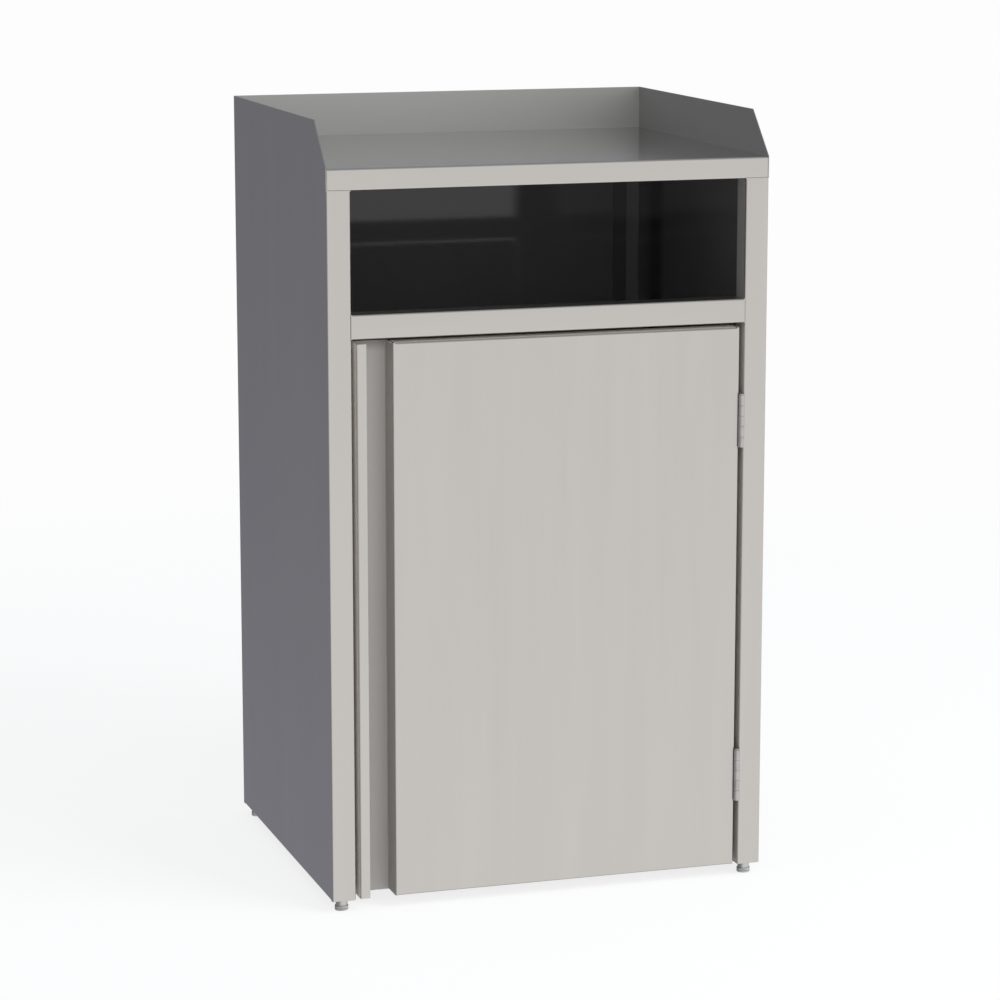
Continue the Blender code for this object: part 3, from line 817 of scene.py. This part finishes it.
# A copy of the panel finish whose gap walls carry less painted light, so that the right gap is painted darker
RIGHT_PANEL = BrushedSheet(
    "brushed_right_panel", STEEL, SATIN, Grain.UPRIGHT, (*SIDE_TREATMENTS, GapWalls(lift=1.10, metal=0.40))
)
BACK = BrushedSheet("brushed_back", STEEL, SATIN, Grain.UPRIGHT, BACK_TREATMENTS)
RAIL = BrushedSheet("brushed_rail", STEEL, SATIN, Grain.ACROSS, RAIL_TREATMENTS)
DOOR = BrushedSheet("brushed_door", STEEL, SATIN, Grain.UPRIGHT, (PullChannel(), GapWalls()))
MILL = BrushedSheet("mill_sheet", (0.46, 0.45, 0.44), 0.24, Grain.ACROSS, streak=0.02)
HINGE_STEEL = SmoothMetal("hinge_steel", (0.60, 0.585, 0.56), 0.36, metal=0.55)
PLATED = SmoothMetal("plated_steel", (0.58, 0.58, 0.56), 0.34, cloud_size=140.0)
SCREW_STEEL = SmoothMetal("screw_steel", (0.50, 0.49, 0.47), 0.28, cloud_size=220.0)
CATCH_PLASTIC = MouldedPlastic("catch_plastic", (0.035, 0.036, 0.038), 0.52, grain_size=2600.0)
BIN_PLASTIC = MouldedPlastic("bin_plastic", (0.040, 0.041, 0.043), 0.48)
BUFFER_RUBBER = MouldedPlastic("buffer_rubber", (0.020, 0.020, 0.021), 0.75, grain_size=3000.0, scuff=0.1)
FLOOR = PaleFloor("pale_floor", (0.96, 0.96, 0.955), 0.5)


# Making and placing pieces


def stand(name: str, data: bpy.types.ID) -> bpy.types.Object:
    """Put an object into the scene.

    Args:
        name: its name.
        data: its mesh, lamp or camera.

    Returns:
        The object.
    """
    made = bpy.data.objects.new(name, data)
    bpy.context.scene.collection.objects.link(made)
    return made


def piece(name: str, bm: BMesh, finish: Finish, body: str) -> bpy.types.Object:
    """Make an object of a mesh, give it its finish and let it ride.

    Args:
        name: the piece's name.
        bm: the mesh, in the station's frame, which is used up.
        finish: its finish.
        body: the body that it moves with.

    Returns:
        The object.
    """
    mesh = bpy.data.meshes.new(name)
    bm.to_mesh(mesh)
    bm.free()
    mesh.shade_smooth()
    mesh.set_sharp_from_angle(angle=BEND_ANGLE)
    mesh.materials.append(finish.material())
    made = stand(name, mesh)
    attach(made, body)
    LOG.info("%s: %d faces on %s", name, len(mesh.polygons), body)
    return made


def dress(node: str, finish: Finish) -> None:
    """Give a CAD node that stays in sight its finish.

    Args:
        node: the node's name.
        finish: its finish.
    """
    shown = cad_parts[node]
    shown.data.materials.clear()
    shown.data.materials.append(finish.material())
    LOG.info("%s: dressed in %s", node, finish.name)


def smooth_skin(node: str, finish: Finish, body: Body, edge: float = CUT_EDGE) -> None:
    """Stand in for a sheet node with the same sheet, its bends shaded smoothly and its cut edges eased.

    Args:
        node: the CAD node.
        finish: its finish.
        body: the body that it moves with.
        edge: how far the cut edges are eased.
    """
    bm = bmesh.new()
    bm.from_mesh(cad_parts[node].data)
    bmesh.ops.remove_doubles(bm, verts=bm.verts, dist=MERGE)
    bmesh.ops.dissolve_limit(bm, angle_limit=FLAT_ANGLE, verts=bm.verts, edges=bm.edges)
    made = piece(f"{node}_sheet", bm, finish, body.value)
    eased = made.modifiers.new("eased edges", "BEVEL")
    eased.width = edge
    eased.segments = 2
    eased.limit_method = "ANGLE"
    eased.angle_limit = CUT_ANGLE
    flat = made.modifiers.new("flat faces", "WEIGHTED_NORMAL")
    flat.keep_sharp = True
    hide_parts(node)


def revolve(profile: Iterable[Pair], centre: Vector, steps: int) -> BMesh:
    """Spin a profile about an upright axis into a closed turned shape.

    Args:
        profile: radius and height pairs, from axis to axis.
        centre: where height 0 is.
        steps: how many sides the turn has.

    Returns:
        The mesh, in the station's frame.
    """
    bm = bmesh.new()
    verts = [bm.verts.new((radius, 0.0, height)) for radius, height in profile]
    edges = [bm.edges.new(pair) for pair in zip(verts, verts[1:])]
    bmesh.ops.spin(
        bm, geom=verts + edges, cent=(0, 0, 0), axis=(0, 0, 1), angle=math.tau, steps=steps, use_merge=True
    )
    bmesh.ops.remove_doubles(bm, verts=bm.verts, dist=TURNED_MERGE)
    bmesh.ops.recalc_face_normals(bm, faces=bm.faces)
    bmesh.ops.translate(bm, vec=centre, verts=bm.verts)
    return bm


def only(kind: type, geom: Iterable[object]) -> list:
    """Pick the items of one kind out of what an operator gives back."""
    return [item for item in geom if isinstance(item, kind)]


def gather(parts: Iterable[BMesh]) -> BMesh:
    """Put several meshes into one.

    Args:
        parts: the meshes, which are used up.

    Returns:
        One mesh.
    """
    whole = bmesh.new()
    for part in parts:
        held = bpy.data.meshes.new("part")
        part.to_mesh(held)
        part.free()
        whole.from_mesh(held)
        bpy.data.meshes.remove(held)
    return whole


def eased_block(low: Vector, high: Vector, edge: float, segments: int) -> BMesh:
    """Make a block with eased edges.

    Args:
        low: its lowest corner.
        high: its highest corner.
        edge: how far the edges are eased.
        segments: how many steps the easing has.

    Returns:
        The mesh.
    """
    bm = bmesh.new()
    bmesh.ops.create_cube(bm, size=1.0)
    bmesh.ops.scale(bm, vec=high - low, verts=bm.verts)
    bmesh.ops.translate(bm, vec=(low + high) / 2, verts=bm.verts)
    bmesh.ops.bevel(
        bm, geom=bm.edges, offset=edge, segments=segments, profile=0.5, affect="EDGES", material=-1
    )
    return bm


@dataclass
class CrossScrew:
    """A flat-topped screw head with a cross recess."""

    radius: float = 0.0030
    height: float = 0.0004
    recess: float = 0.0014
    arm: float = 0.00042
    depth: float = 0.00035
    sides: int = 20

    def mesh(self, centre: Vector, axis: Vector) -> BMesh:
        """Make the head.

        Args:
            centre: the middle of its seat.
            axis: the way that it faces.

        Returns:
            The mesh, in the station's frame.
        """
        bm = bmesh.new()
        bmesh.ops.create_circle(bm, segments=self.sides, radius=self.radius - self.height)
        outer = list(bm.edges)
        a, r = self.arm, self.recess
        corners = [(a, a), (a, r), (-a, r), (-a, a), (-r, a), (-r, -a)]
        corners += [(-a, -a), (-a, -r), (a, -r), (a, -a), (r, -a), (r, a)]
        cross = [bm.verts.new((x, y, 0.0)) for x, y in corners]
        inner = [bm.edges.new(pair) for pair in zip(cross, cross[1:] + cross[:1])]
        bmesh.ops.bridge_loops(bm, edges=outer + inner)
        sunk = bmesh.ops.extrude_edge_only(bm, edges=inner)["geom"]
        bmesh.ops.translate(bm, vec=(0, 0, -self.depth), verts=only(BMVert, sunk))
        bmesh.ops.edgeloop_fill(bm, edges=only(BMEdge, sunk))
        skirt = bmesh.ops.extrude_edge_only(bm, edges=outer)["geom"]
        foot = only(BMVert, skirt)
        grow = self.radius / (self.radius - self.height)
        bmesh.ops.scale(bm, vec=(grow, grow, 1.0), verts=foot)
        bmesh.ops.translate(bm, vec=(0, 0, -self.height), verts=foot)
        bmesh.ops.edgeloop_fill(bm, edges=only(BMEdge, skirt))
        bmesh.ops.recalc_face_normals(bm, faces=bm.faces)
        bmesh.ops.translate(bm, vec=(0, 0, self.height), verts=bm.verts)
        turn = Vector((0, 0, 1)).rotation_difference(axis).to_matrix().to_4x4()
        bmesh.ops.transform(bm, matrix=Matrix.Translation(centre) @ turn, verts=bm.verts)
        return bm


# Sub-assemblies


@dataclass
class Cabinet:
    """The fixed sheet work: panels, tray, rails and base."""

    outside: dict[str, Finish] = field(
        default_factory=lambda: {
            "left_side_panel": PANEL,
            "right_side_panel": RIGHT_PANEL,
            "rear_panel": BACK,
            "tray_top": RAIL,
            "mid_rail": RAIL,
        }
    )
    hidden: tuple[str, ...] = ("base_pan", "tray_stiffener")
    seam: float = 0.0007
    weld_depth: float = 0.0010
    weld_sink: float = 0.00003
    weld_edge: float = 0.00002
    weld_end: float = 0.0010
    tray_bend: float = 0.0024
    tray_fit: float = 0.0003

    def tray_welds(self) -> BMesh:
        """Fill the groove between the tray's folded edges and the galleries, flush with the tray floor.

        Returns:
            The welds' mesh.
        """
        low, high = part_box("tray_top")
        top = high.z - self.weld_sink
        base = top - self.weld_depth
        wall_x, wall_y = high.x + self.tray_fit, high.y + self.tray_fit
        edge_x, edge_y = high.x - self.tray_bend, high.y - self.tray_bend
        near = low.y + self.tray_bend
        beads = [(Vector((-wall_x, edge_y, base)), Vector((wall_x, wall_y, top)))]
        for side in (-1, 1):
            left, right = sorted((side * edge_x, side * wall_x))
            beads.append((Vector((left, near, base)), Vector((right, edge_y, top))))
        return gather(eased_block(start, end, self.weld_edge, 1) for start, end in beads)

    def frame_welds(self) -> BMesh:
        """Fill the seams of the front frame with welds that were ground flush.

        Returns:
            The welds' mesh.
        """
        rail_low, rail_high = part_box("mid_rail")
        reach = CAD_BOX[1].x - self.weld_end
        near = rail_low.y + self.weld_sink
        far = near + self.weld_depth
        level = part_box("tray_top")[0].z
        beads = []
        for side in (-1, 1):
            left, right = sorted((side * rail_high.x, side * reach))
            start = Vector((left, near, level - self.seam))
            beads.append((start, Vector((right, far, level + self.seam))))
            left, right = sorted((side * (rail_high.x - self.seam), side * (rail_high.x + self.seam)))
            beads.append((Vector((left, near, rail_low.z)), Vector((right, far, rail_high.z))))
        return gather(eased_block(start, end, self.weld_edge, 1) for start, end in beads)

    def build(self) -> None:
        """Stand in for the sheets, in their finishes, and weld their seams."""
        for node, finish in self.outside.items():
            smooth_skin(node, finish, Body.CABINET)
        for node in self.hidden:
            smooth_skin(node, MILL, Body.CABINET)
        piece("dressed_welds", self.frame_welds(), RAIL, Body.CABINET.value)
        piece("tray_welds", self.tray_welds(), RAIL, Body.CABINET.value)


@dataclass
class Door:
    """The swinging door with its stiffener and strike plate."""

    strike_screw: CrossScrew = field(default_factory=lambda: CrossScrew(radius=0.0028))
    strike_screw_inset: float = 0.008

    def build(self) -> None:
        """Stand in for the folded pan and its stiffener, and fix the strike plate."""
        smooth_skin("door_panel", DOOR, Body.DOOR)
        smooth_skin("door_stiffener", MILL, Body.DOOR)
        dress("strike_plate", PLATED)
        low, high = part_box("strike_plate")
        middle = (low + high) / 2
        levels = (low.z + self.strike_screw_inset, high.z - self.strike_screw_inset)
        heads = [self.strike_screw.mesh(Vector((middle.x, high.y, z)), Vector((0, 1, 0))) for z in levels]
        piece("strike_screws", gather(heads), SCREW_STEEL, Body.DOOR.value)


@dataclass
class Hinge:
    """One butt hinge: two rolled leaves, their pin and their screws."""

    level: Level
    leaf_edge: float = 0.00012
    screw: CrossScrew = field(default_factory=CrossScrew)
    screw_count: int = 3
    screw_margin: float = 0.012
    screw_setback: float = 0.0075

    def screws(self, node: str, side: int) -> BMesh:
        """Make the row of screws on the bare face of one leaf.

        Args:
            node: the leaf's CAD node.
            side: 1 where the bare face looks to +X, -1 where it looks to -X.

        Returns:
            The screws' mesh.
        """
        low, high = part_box(node)
        y = high.y - self.screw_setback
        plate = [vert.co.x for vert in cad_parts[node].data.vertices if vert.co.y > y]
        face = max(plate) if side > 0 else min(plate)
        first = low.z + self.screw_margin
        span = high.z - low.z - 2 * self.screw_margin
        heights = [first + span * i / (self.screw_count - 1) for i in range(self.screw_count)]
        return gather(self.screw.mesh(Vector((face, y, z)), Vector((side, 0, 0))) for z in heights)

    def build(self) -> None:
        """Stand in for the leaves, dress the pin and add the screws."""
        level = self.level.value
        leaves = ((f"{level}_frame_leaf", Body.CABINET, -1), (f"{level}_door_leaf", Body.DOOR, 1))
        for node, body, _ in leaves:
            smooth_skin(node, HINGE_STEEL, body, self.leaf_edge)
        dress(f"{level}_hinge_pin", HINGE_STEEL)
        for node, body, side in leaves:
            piece(f"{node}_screws", self.screws(node, side), SCREW_STEEL, body.value)


@dataclass
class Catch:
    """The magnetic catch with its bracket, its pole strips and the door's buffer."""

    pole_width: float = 0.0031
    pole_height: float = 0.0008
    pole_spacing: float = 0.008
    pole_margin: float = 0.0030
    pole_sink: float = 0.00015
    pole_edge: float = 0.0002
    screw: CrossScrew = field(default_factory=lambda: CrossScrew(radius=0.0032, height=0.0007))
    screw_margin: float = 0.010
    screw_setback: float = 0.008

    def build(self) -> None:
        """Dress the catch and fit its pole strips and bracket screws."""
        smooth_skin("catch_bracket", HINGE_STEEL, Body.CABINET)
        dress("catch_body", CATCH_PLASTIC)
        dress("door_buffer", BUFFER_RUBBER)
        low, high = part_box("catch_body")
        middle = (low + high) / 2
        face = low.y + self.pole_sink
        strips = []
        for side in (-1, 1):
            x = middle.x + side * self.pole_spacing / 2
            near = Vector((x - self.pole_width / 2, face, low.z + self.pole_margin))
            far = Vector((x + self.pole_width / 2, face + self.pole_height, high.z - self.pole_margin))
            strips.append(eased_block(near, far, self.pole_edge, 2))
        piece("catch_poles", gather(strips), PLATED, Body.CABINET.value)
        low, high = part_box("catch_bracket")
        y = low.y + self.screw_setback
        levels = (low.z + self.screw_margin, high.z - self.screw_margin)
        heads = [self.screw.mesh(Vector((low.x, y, z)), Vector((-1, 0, 0))) for z in levels]
        piece("catch_bracket_screws", gather(heads), SCREW_STEEL, Body.CABINET.value)


@dataclass
class LevellingFoot:
    """One foot: a knurled pad with a glide groove, a neck and a threaded stem, in its welded nut."""

    corner: Corner
    sides: int = 72
    rib_depth: float = 0.0005
    base_inset: float = 0.0016
    base_edge: float = 0.0014
    edge_step: float = 0.0004
    groove_level: float = 0.0030
    groove_half: float = 0.0004
    groove_depth: float = 0.0005
    pad_top: float = 0.007
    pad_edge: float = 0.0012
    neck_inset: float = 0.0012
    shoulder: float = 0.0157
    shoulder_edge: float = 0.0005
    stem_radius: float = 0.0040
    thread_depth: float = 0.0006
    thread_pitch: float = 0.00125
    crest_start: float = 0.25
    crest_end: float = 0.40
    thread_root: float = 0.9
    thread_clear: float = 0.001
    tip_edge: float = 0.0006
    tip_inset: float = 0.0012

    def pad(self, radius: float) -> list[Pair]:
        """Draw the half section of the pad and its neck.

        Args:
            radius: the pad's radius.

        Returns:
            Radius and height pairs from the axis to the neck's top.
        """
        neck = radius - self.neck_inset
        return [
            (0.0, 0.0),
            (radius - self.base_inset, 0.0),
            (radius - self.edge_step, self.edge_step),
            (radius, self.base_edge),
            (radius, self.groove_level - self.groove_half),
            (radius - self.groove_depth, self.groove_level),
            (radius, self.groove_level + self.groove_half),
            (radius, self.pad_top - self.pad_edge),
            (radius - self.edge_step, self.pad_top - self.edge_step),
            (neck, self.pad_top),
            (neck, self.shoulder - self.shoulder_edge),
            (neck - self.shoulder_edge, self.shoulder),
        ]

    def stem(self, top: float) -> list[Pair]:
        """Draw the half section of the threaded stem.

        Args:
            top: the height of the stem's end.

        Returns:
            Radius and height pairs from the neck's top to the axis.
        """
        crest, root = self.stem_radius, self.stem_radius - self.thread_depth
        points = [(root, self.shoulder)]
        height = self.shoulder + self.thread_pitch / 2
        while height + self.thread_pitch < top - self.thread_clear:
            points.append((crest, height + self.thread_pitch * self.crest_start))
            points.append((crest, height + self.thread_pitch * self.crest_end))
            points.append((root, height + self.thread_pitch * self.thread_root))
            height += self.thread_pitch
        points += [(root, top - self.tip_edge), (crest - self.tip_inset, top), (0.0, top)]
        return points

    def knurl(self, bm: BMesh, centre: Vector, radius: float) -> None:
        """Press fine upright ribs into the pad's rim.

        Args:
            bm: the turned foot.
            centre: the middle of its base.
            radius: the pad's radius.
        """
        grooves = []
        for vert in bm.verts:
            out = vert.co - centre
            turn = round(math.atan2(out.y, out.x) / math.tau * self.sides)
            if out.xy.length > radius - MERGE and turn % 2:
                grooves.append(vert)
        shrink = (radius - self.rib_depth) / radius
        bmesh.ops.scale(bm, vec=(shrink, shrink, 1.0), space=Matrix.Translation(-centre), verts=grooves)

    def build(self) -> None:
        """Turn the foot and dress its nut."""
        corner = self.corner.value
        node = f"{corner}_foot"
        low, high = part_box(node)
        centre = Vector(((low.x + high.x) / 2, (low.y + high.y) / 2, 0.0))
        radius = (high.x - low.x) / 2
        bm = revolve(self.pad(radius) + self.stem(high.z), centre, self.sides)
        self.knurl(bm, centre, radius)
        made = piece(f"{node}_turned", bm, PLATED, f"{corner}_leveller")
        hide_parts(node)
        dress(f"{corner}_foot_nut", PLATED)


@dataclass
class LinerBin:
    """The liner bin: a tapered tub with an eased base, a stepped band and a turned-down rim."""

    wall: float = 0.003
    corner_steps: int = 8
    corner: float = 0.045
    taper: float = 0.022
    band_drop: float = 0.090
    band_step: float = 0.004
    rim_width: float = 0.014
    rim_drop: float = 0.022
    rim_edge: float = 0.003
    rim_flare: float = 0.002
    base_ease: float = 0.006
    base_turn: float = 0.3

    def steps(self, height: float) -> list[Pair]:
        """List how the tub's wall goes, from the base to the end of the rim.

        Args:
            height: the outside height, without the thickness of the rim.

        Returns:
            For each step, how far it goes up and how far out.
        """
        flat, steep = self.base_ease * self.base_turn, self.base_ease * (1 - self.base_turn)
        return [
            (flat, steep),
            (steep, flat),
            (height - self.band_drop - self.base_ease, self.taper),
            (self.band_step, self.band_step),
            (self.band_drop - self.band_step - self.rim_edge, 0.0),
            (self.rim_edge, self.rim_flare),
            (0.0, self.rim_width - self.rim_flare - self.rim_edge),
            (-self.rim_edge, self.rim_edge),
            (self.rim_edge - self.rim_drop, 0.0),
        ]

    def rise(
        self, bm: BMesh, loop: list[BMEdge], centre: Vector, step: float, grow: float
    ) -> list[BMEdge]:
        """Draw the open loop up by a step while it grows outward.

        Args:
            bm: the mesh.
            loop: the loop's edges.
            centre: the bin's middle.
            step: how far it goes up.
            grow: how far each side moves out.

        Returns:
            The new loop.
        """
        drawn = bmesh.ops.extrude_edge_only(bm, edges=loop)["geom"]
        verts = only(BMVert, drawn)
        reach = [max(abs(vert.co[axis] - centre[axis]) for vert in verts) for axis in (0, 1)]
        factor = Vector(((reach[0] + grow) / reach[0], (reach[1] + grow) / reach[1], 1.0))
        bmesh.ops.scale(bm, vec=factor, space=Matrix.Translation(-centre), verts=verts)
        bmesh.ops.translate(bm, vec=(0, 0, step), verts=verts)
        return only(BMEdge, drawn)

    def build(self) -> None:
        """Mould the tub in place of its CAD node."""
        low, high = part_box("waste_bin")
        centre = (low + high) / 2
        margin = self.wall + self.rim_width + self.band_step + self.taper + self.base_ease
        half = Vector((high.x - centre.x - margin, high.y - centre.y - margin))
        bm = bmesh.new()
        corners = [(-1, -1), (1, -1), (1, 1), (-1, 1)]
        verts = [bm.verts.new((centre.x + x * half.x, centre.y + y * half.y, low.z)) for x, y in corners]
        bm.faces.new(verts)
        bmesh.ops.bevel(
            bm,
            geom=verts,
            offset=self.corner - self.base_ease,
            segments=self.corner_steps,
            profile=0.5,
            affect="VERTICES",
            material=-1,
        )
        loop = list(bm.edges)
        for step, grow in self.steps(high.z - self.wall - low.z):
            loop = self.rise(bm, loop, centre, step, grow)
        bmesh.ops.recalc_face_normals(bm, faces=bm.faces)
        bottom = min(bm.faces, key=lambda face: face.calc_center_median().z)
        if bottom.normal.z > 0:
            bmesh.ops.reverse_faces(bm, faces=bm.faces)
        made = piece("waste_bin_tub", bm, BIN_PLASTIC, Body.CABINET.value)
        shell = made.modifiers.new("wall", "SOLIDIFY")
        shell.thickness = self.wall
        shell.offset = -1
        shell.use_even_offset = True
        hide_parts("waste_bin")


# Studio


@dataclass
class Studio:
    """A pale floor, a soft surround that is dimmer behind and to the left, one soft key and the camera."""

    camera_place: Triple = (-1.3906, -4.4162, 1.3785)
    camera_turn: Triple = (79.14, 0.0, -17.577)
    lens: float = 123.2
    sensor: float = 36.0
    floor_radius: float = 3.4
    floor_sides: int = 64
    floor_drop: float = 0.0002
    lamp_place: Triple = (1.8, -2.2, 3.2)
    lamp_aim: Triple = (0.0, 0.0, 0.6)
    lamp_size: Pair = (2.2, 1.6)
    lamp_energy: float = 35.0
    bright_azimuth: float = 34.0
    front_share: Pair = (-0.45, 1.0)
    front_low: Colour = (1.170, 1.125, 1.070)
    front_level: Colour = (0.720, 0.750, 0.780)
    front_top: Colour = (0.365, 0.385, 0.405)
    front_rise: Pair = (-0.40, 0.05)
    front_crown: Pair = (0.05, 0.80)
    back_low: Colour = (0.282, 0.290, 0.338)
    back_level: Colour = (0.186, 0.192, 0.226)
    back_top: Colour = (0.360, 0.373, 0.396)
    back_rise: Pair = (-0.35, -0.05)
    back_crown: Pair = (-0.02, 0.20)
    mirrored_ahead: Pair = (0.25, 0.90)
    mirrored_below: Pair = (-0.12, 0.16)

    def floor(self) -> None:
        """Lay the floor, which reflections leave out so that the sheet shows the surround alone."""
        bm = bmesh.new()
        bmesh.ops.create_circle(bm, cap_ends=True, segments=self.floor_sides, radius=self.floor_radius)
        bmesh.ops.translate(bm, vec=(0, 0, -self.floor_drop), verts=bm.verts)
        mesh = bpy.data.meshes.new("floor")
        bm.to_mesh(mesh)
        bm.free()
        mesh.materials.append(FLOOR.material())
        laid = stand("floor", mesh)
        laid.visible_glossy = False

    def surround(self) -> None:
        """Light the station from all round; its mirroring shows the white ground only ahead and low down."""
        world = bpy.data.worlds.new("studio")
        world.use_nodes = True
        bpy.context.scene.world = world
        graph = Graph(world.node_tree)
        x, y, z = graph.split(graph.node("ShaderNodeTexCoord", output="Generated"))
        angle = math.radians(self.bright_azimuth)
        ahead = x * math.sin(angle) - y * math.cos(angle)
        front = graph.tint(z.ramp(*self.front_rise), self.front_low, self.front_level)
        front = graph.tint(z.ramp(*self.front_crown), front, self.front_top)
        back = graph.tint(z.ramp(*self.back_rise), self.back_low, self.back_level)
        back = graph.tint(z.ramp(*self.back_crown), back, self.back_top)
        glow = graph.tint(ahead.ramp(*self.front_share), back, front)
        soft = graph.node("ShaderNodeBackground", inputs={"Color": glow, "Strength": 1.0})
        plain = graph.node("ShaderNodeBackground", inputs={"Color": (*STUDIO_WHITE, 1.0), "Strength": 1.0})
        rays = ("Camera", "Glossy", "Transmission")
        camera, glossy, through = (graph.node("ShaderNodeLightPath", output=f"Is {ray} Ray") for ray in rays)
        mirrored = ahead.ramp(*self.mirrored_ahead) * z.ramp(*self.mirrored_below, 1.0, 0.0)
        seen = camera + through + glossy * mirrored
        mixed = graph.node("ShaderNodeMixShader", inputs={0: seen, 1: soft, 2: plain})
        graph.node("ShaderNodeOutputWorld", inputs={"Surface": mixed})

    def key(self) -> None:
        """Hang one large soft lamp above the front right."""
        lamp = bpy.data.lights.new("soft_key", "AREA")
        lamp.shape = "RECTANGLE"
        lamp.size, lamp.size_y = self.lamp_size
        lamp.energy = self.lamp_energy
        hung = stand("soft_key", lamp)
        hung.visible_glossy = False
        hung.location = self.lamp_place
        hung.rotation_euler = (Vector(self.lamp_aim) - hung.location).to_track_quat("-Z", "Y").to_euler()

    def camera(self) -> None:
        """Stand the camera where the photograph was taken from."""
        lens = bpy.data.cameras.new("camera")
        lens.lens = self.lens
        lens.sensor_width = self.sensor
        stood = stand("camera", lens)
        stood.location = self.camera_place
        stood.rotation_euler = [math.radians(part) for part in self.camera_turn]
        bpy.context.scene.camera = stood

    def build(self) -> None:
        """Set up the whole studio."""
        bpy.context.scene.view_settings.view_transform = "Standard"
        self.camera()
        self.floor()
        self.surround()
        self.key()


def main() -> None:
    """Build every sub-assembly and the studio."""
    logging.basicConfig(level=logging.INFO, format="%(name)s: %(message)s")
    Cabinet().build()
    Door().build()
    for level in Level:
        Hinge(level).build()
    Catch().build()
    for corner in Corner:
        LevellingFoot(corner).build()
    LinerBin().build()
    Studio().build()


if __name__ == "__main__":
    main()
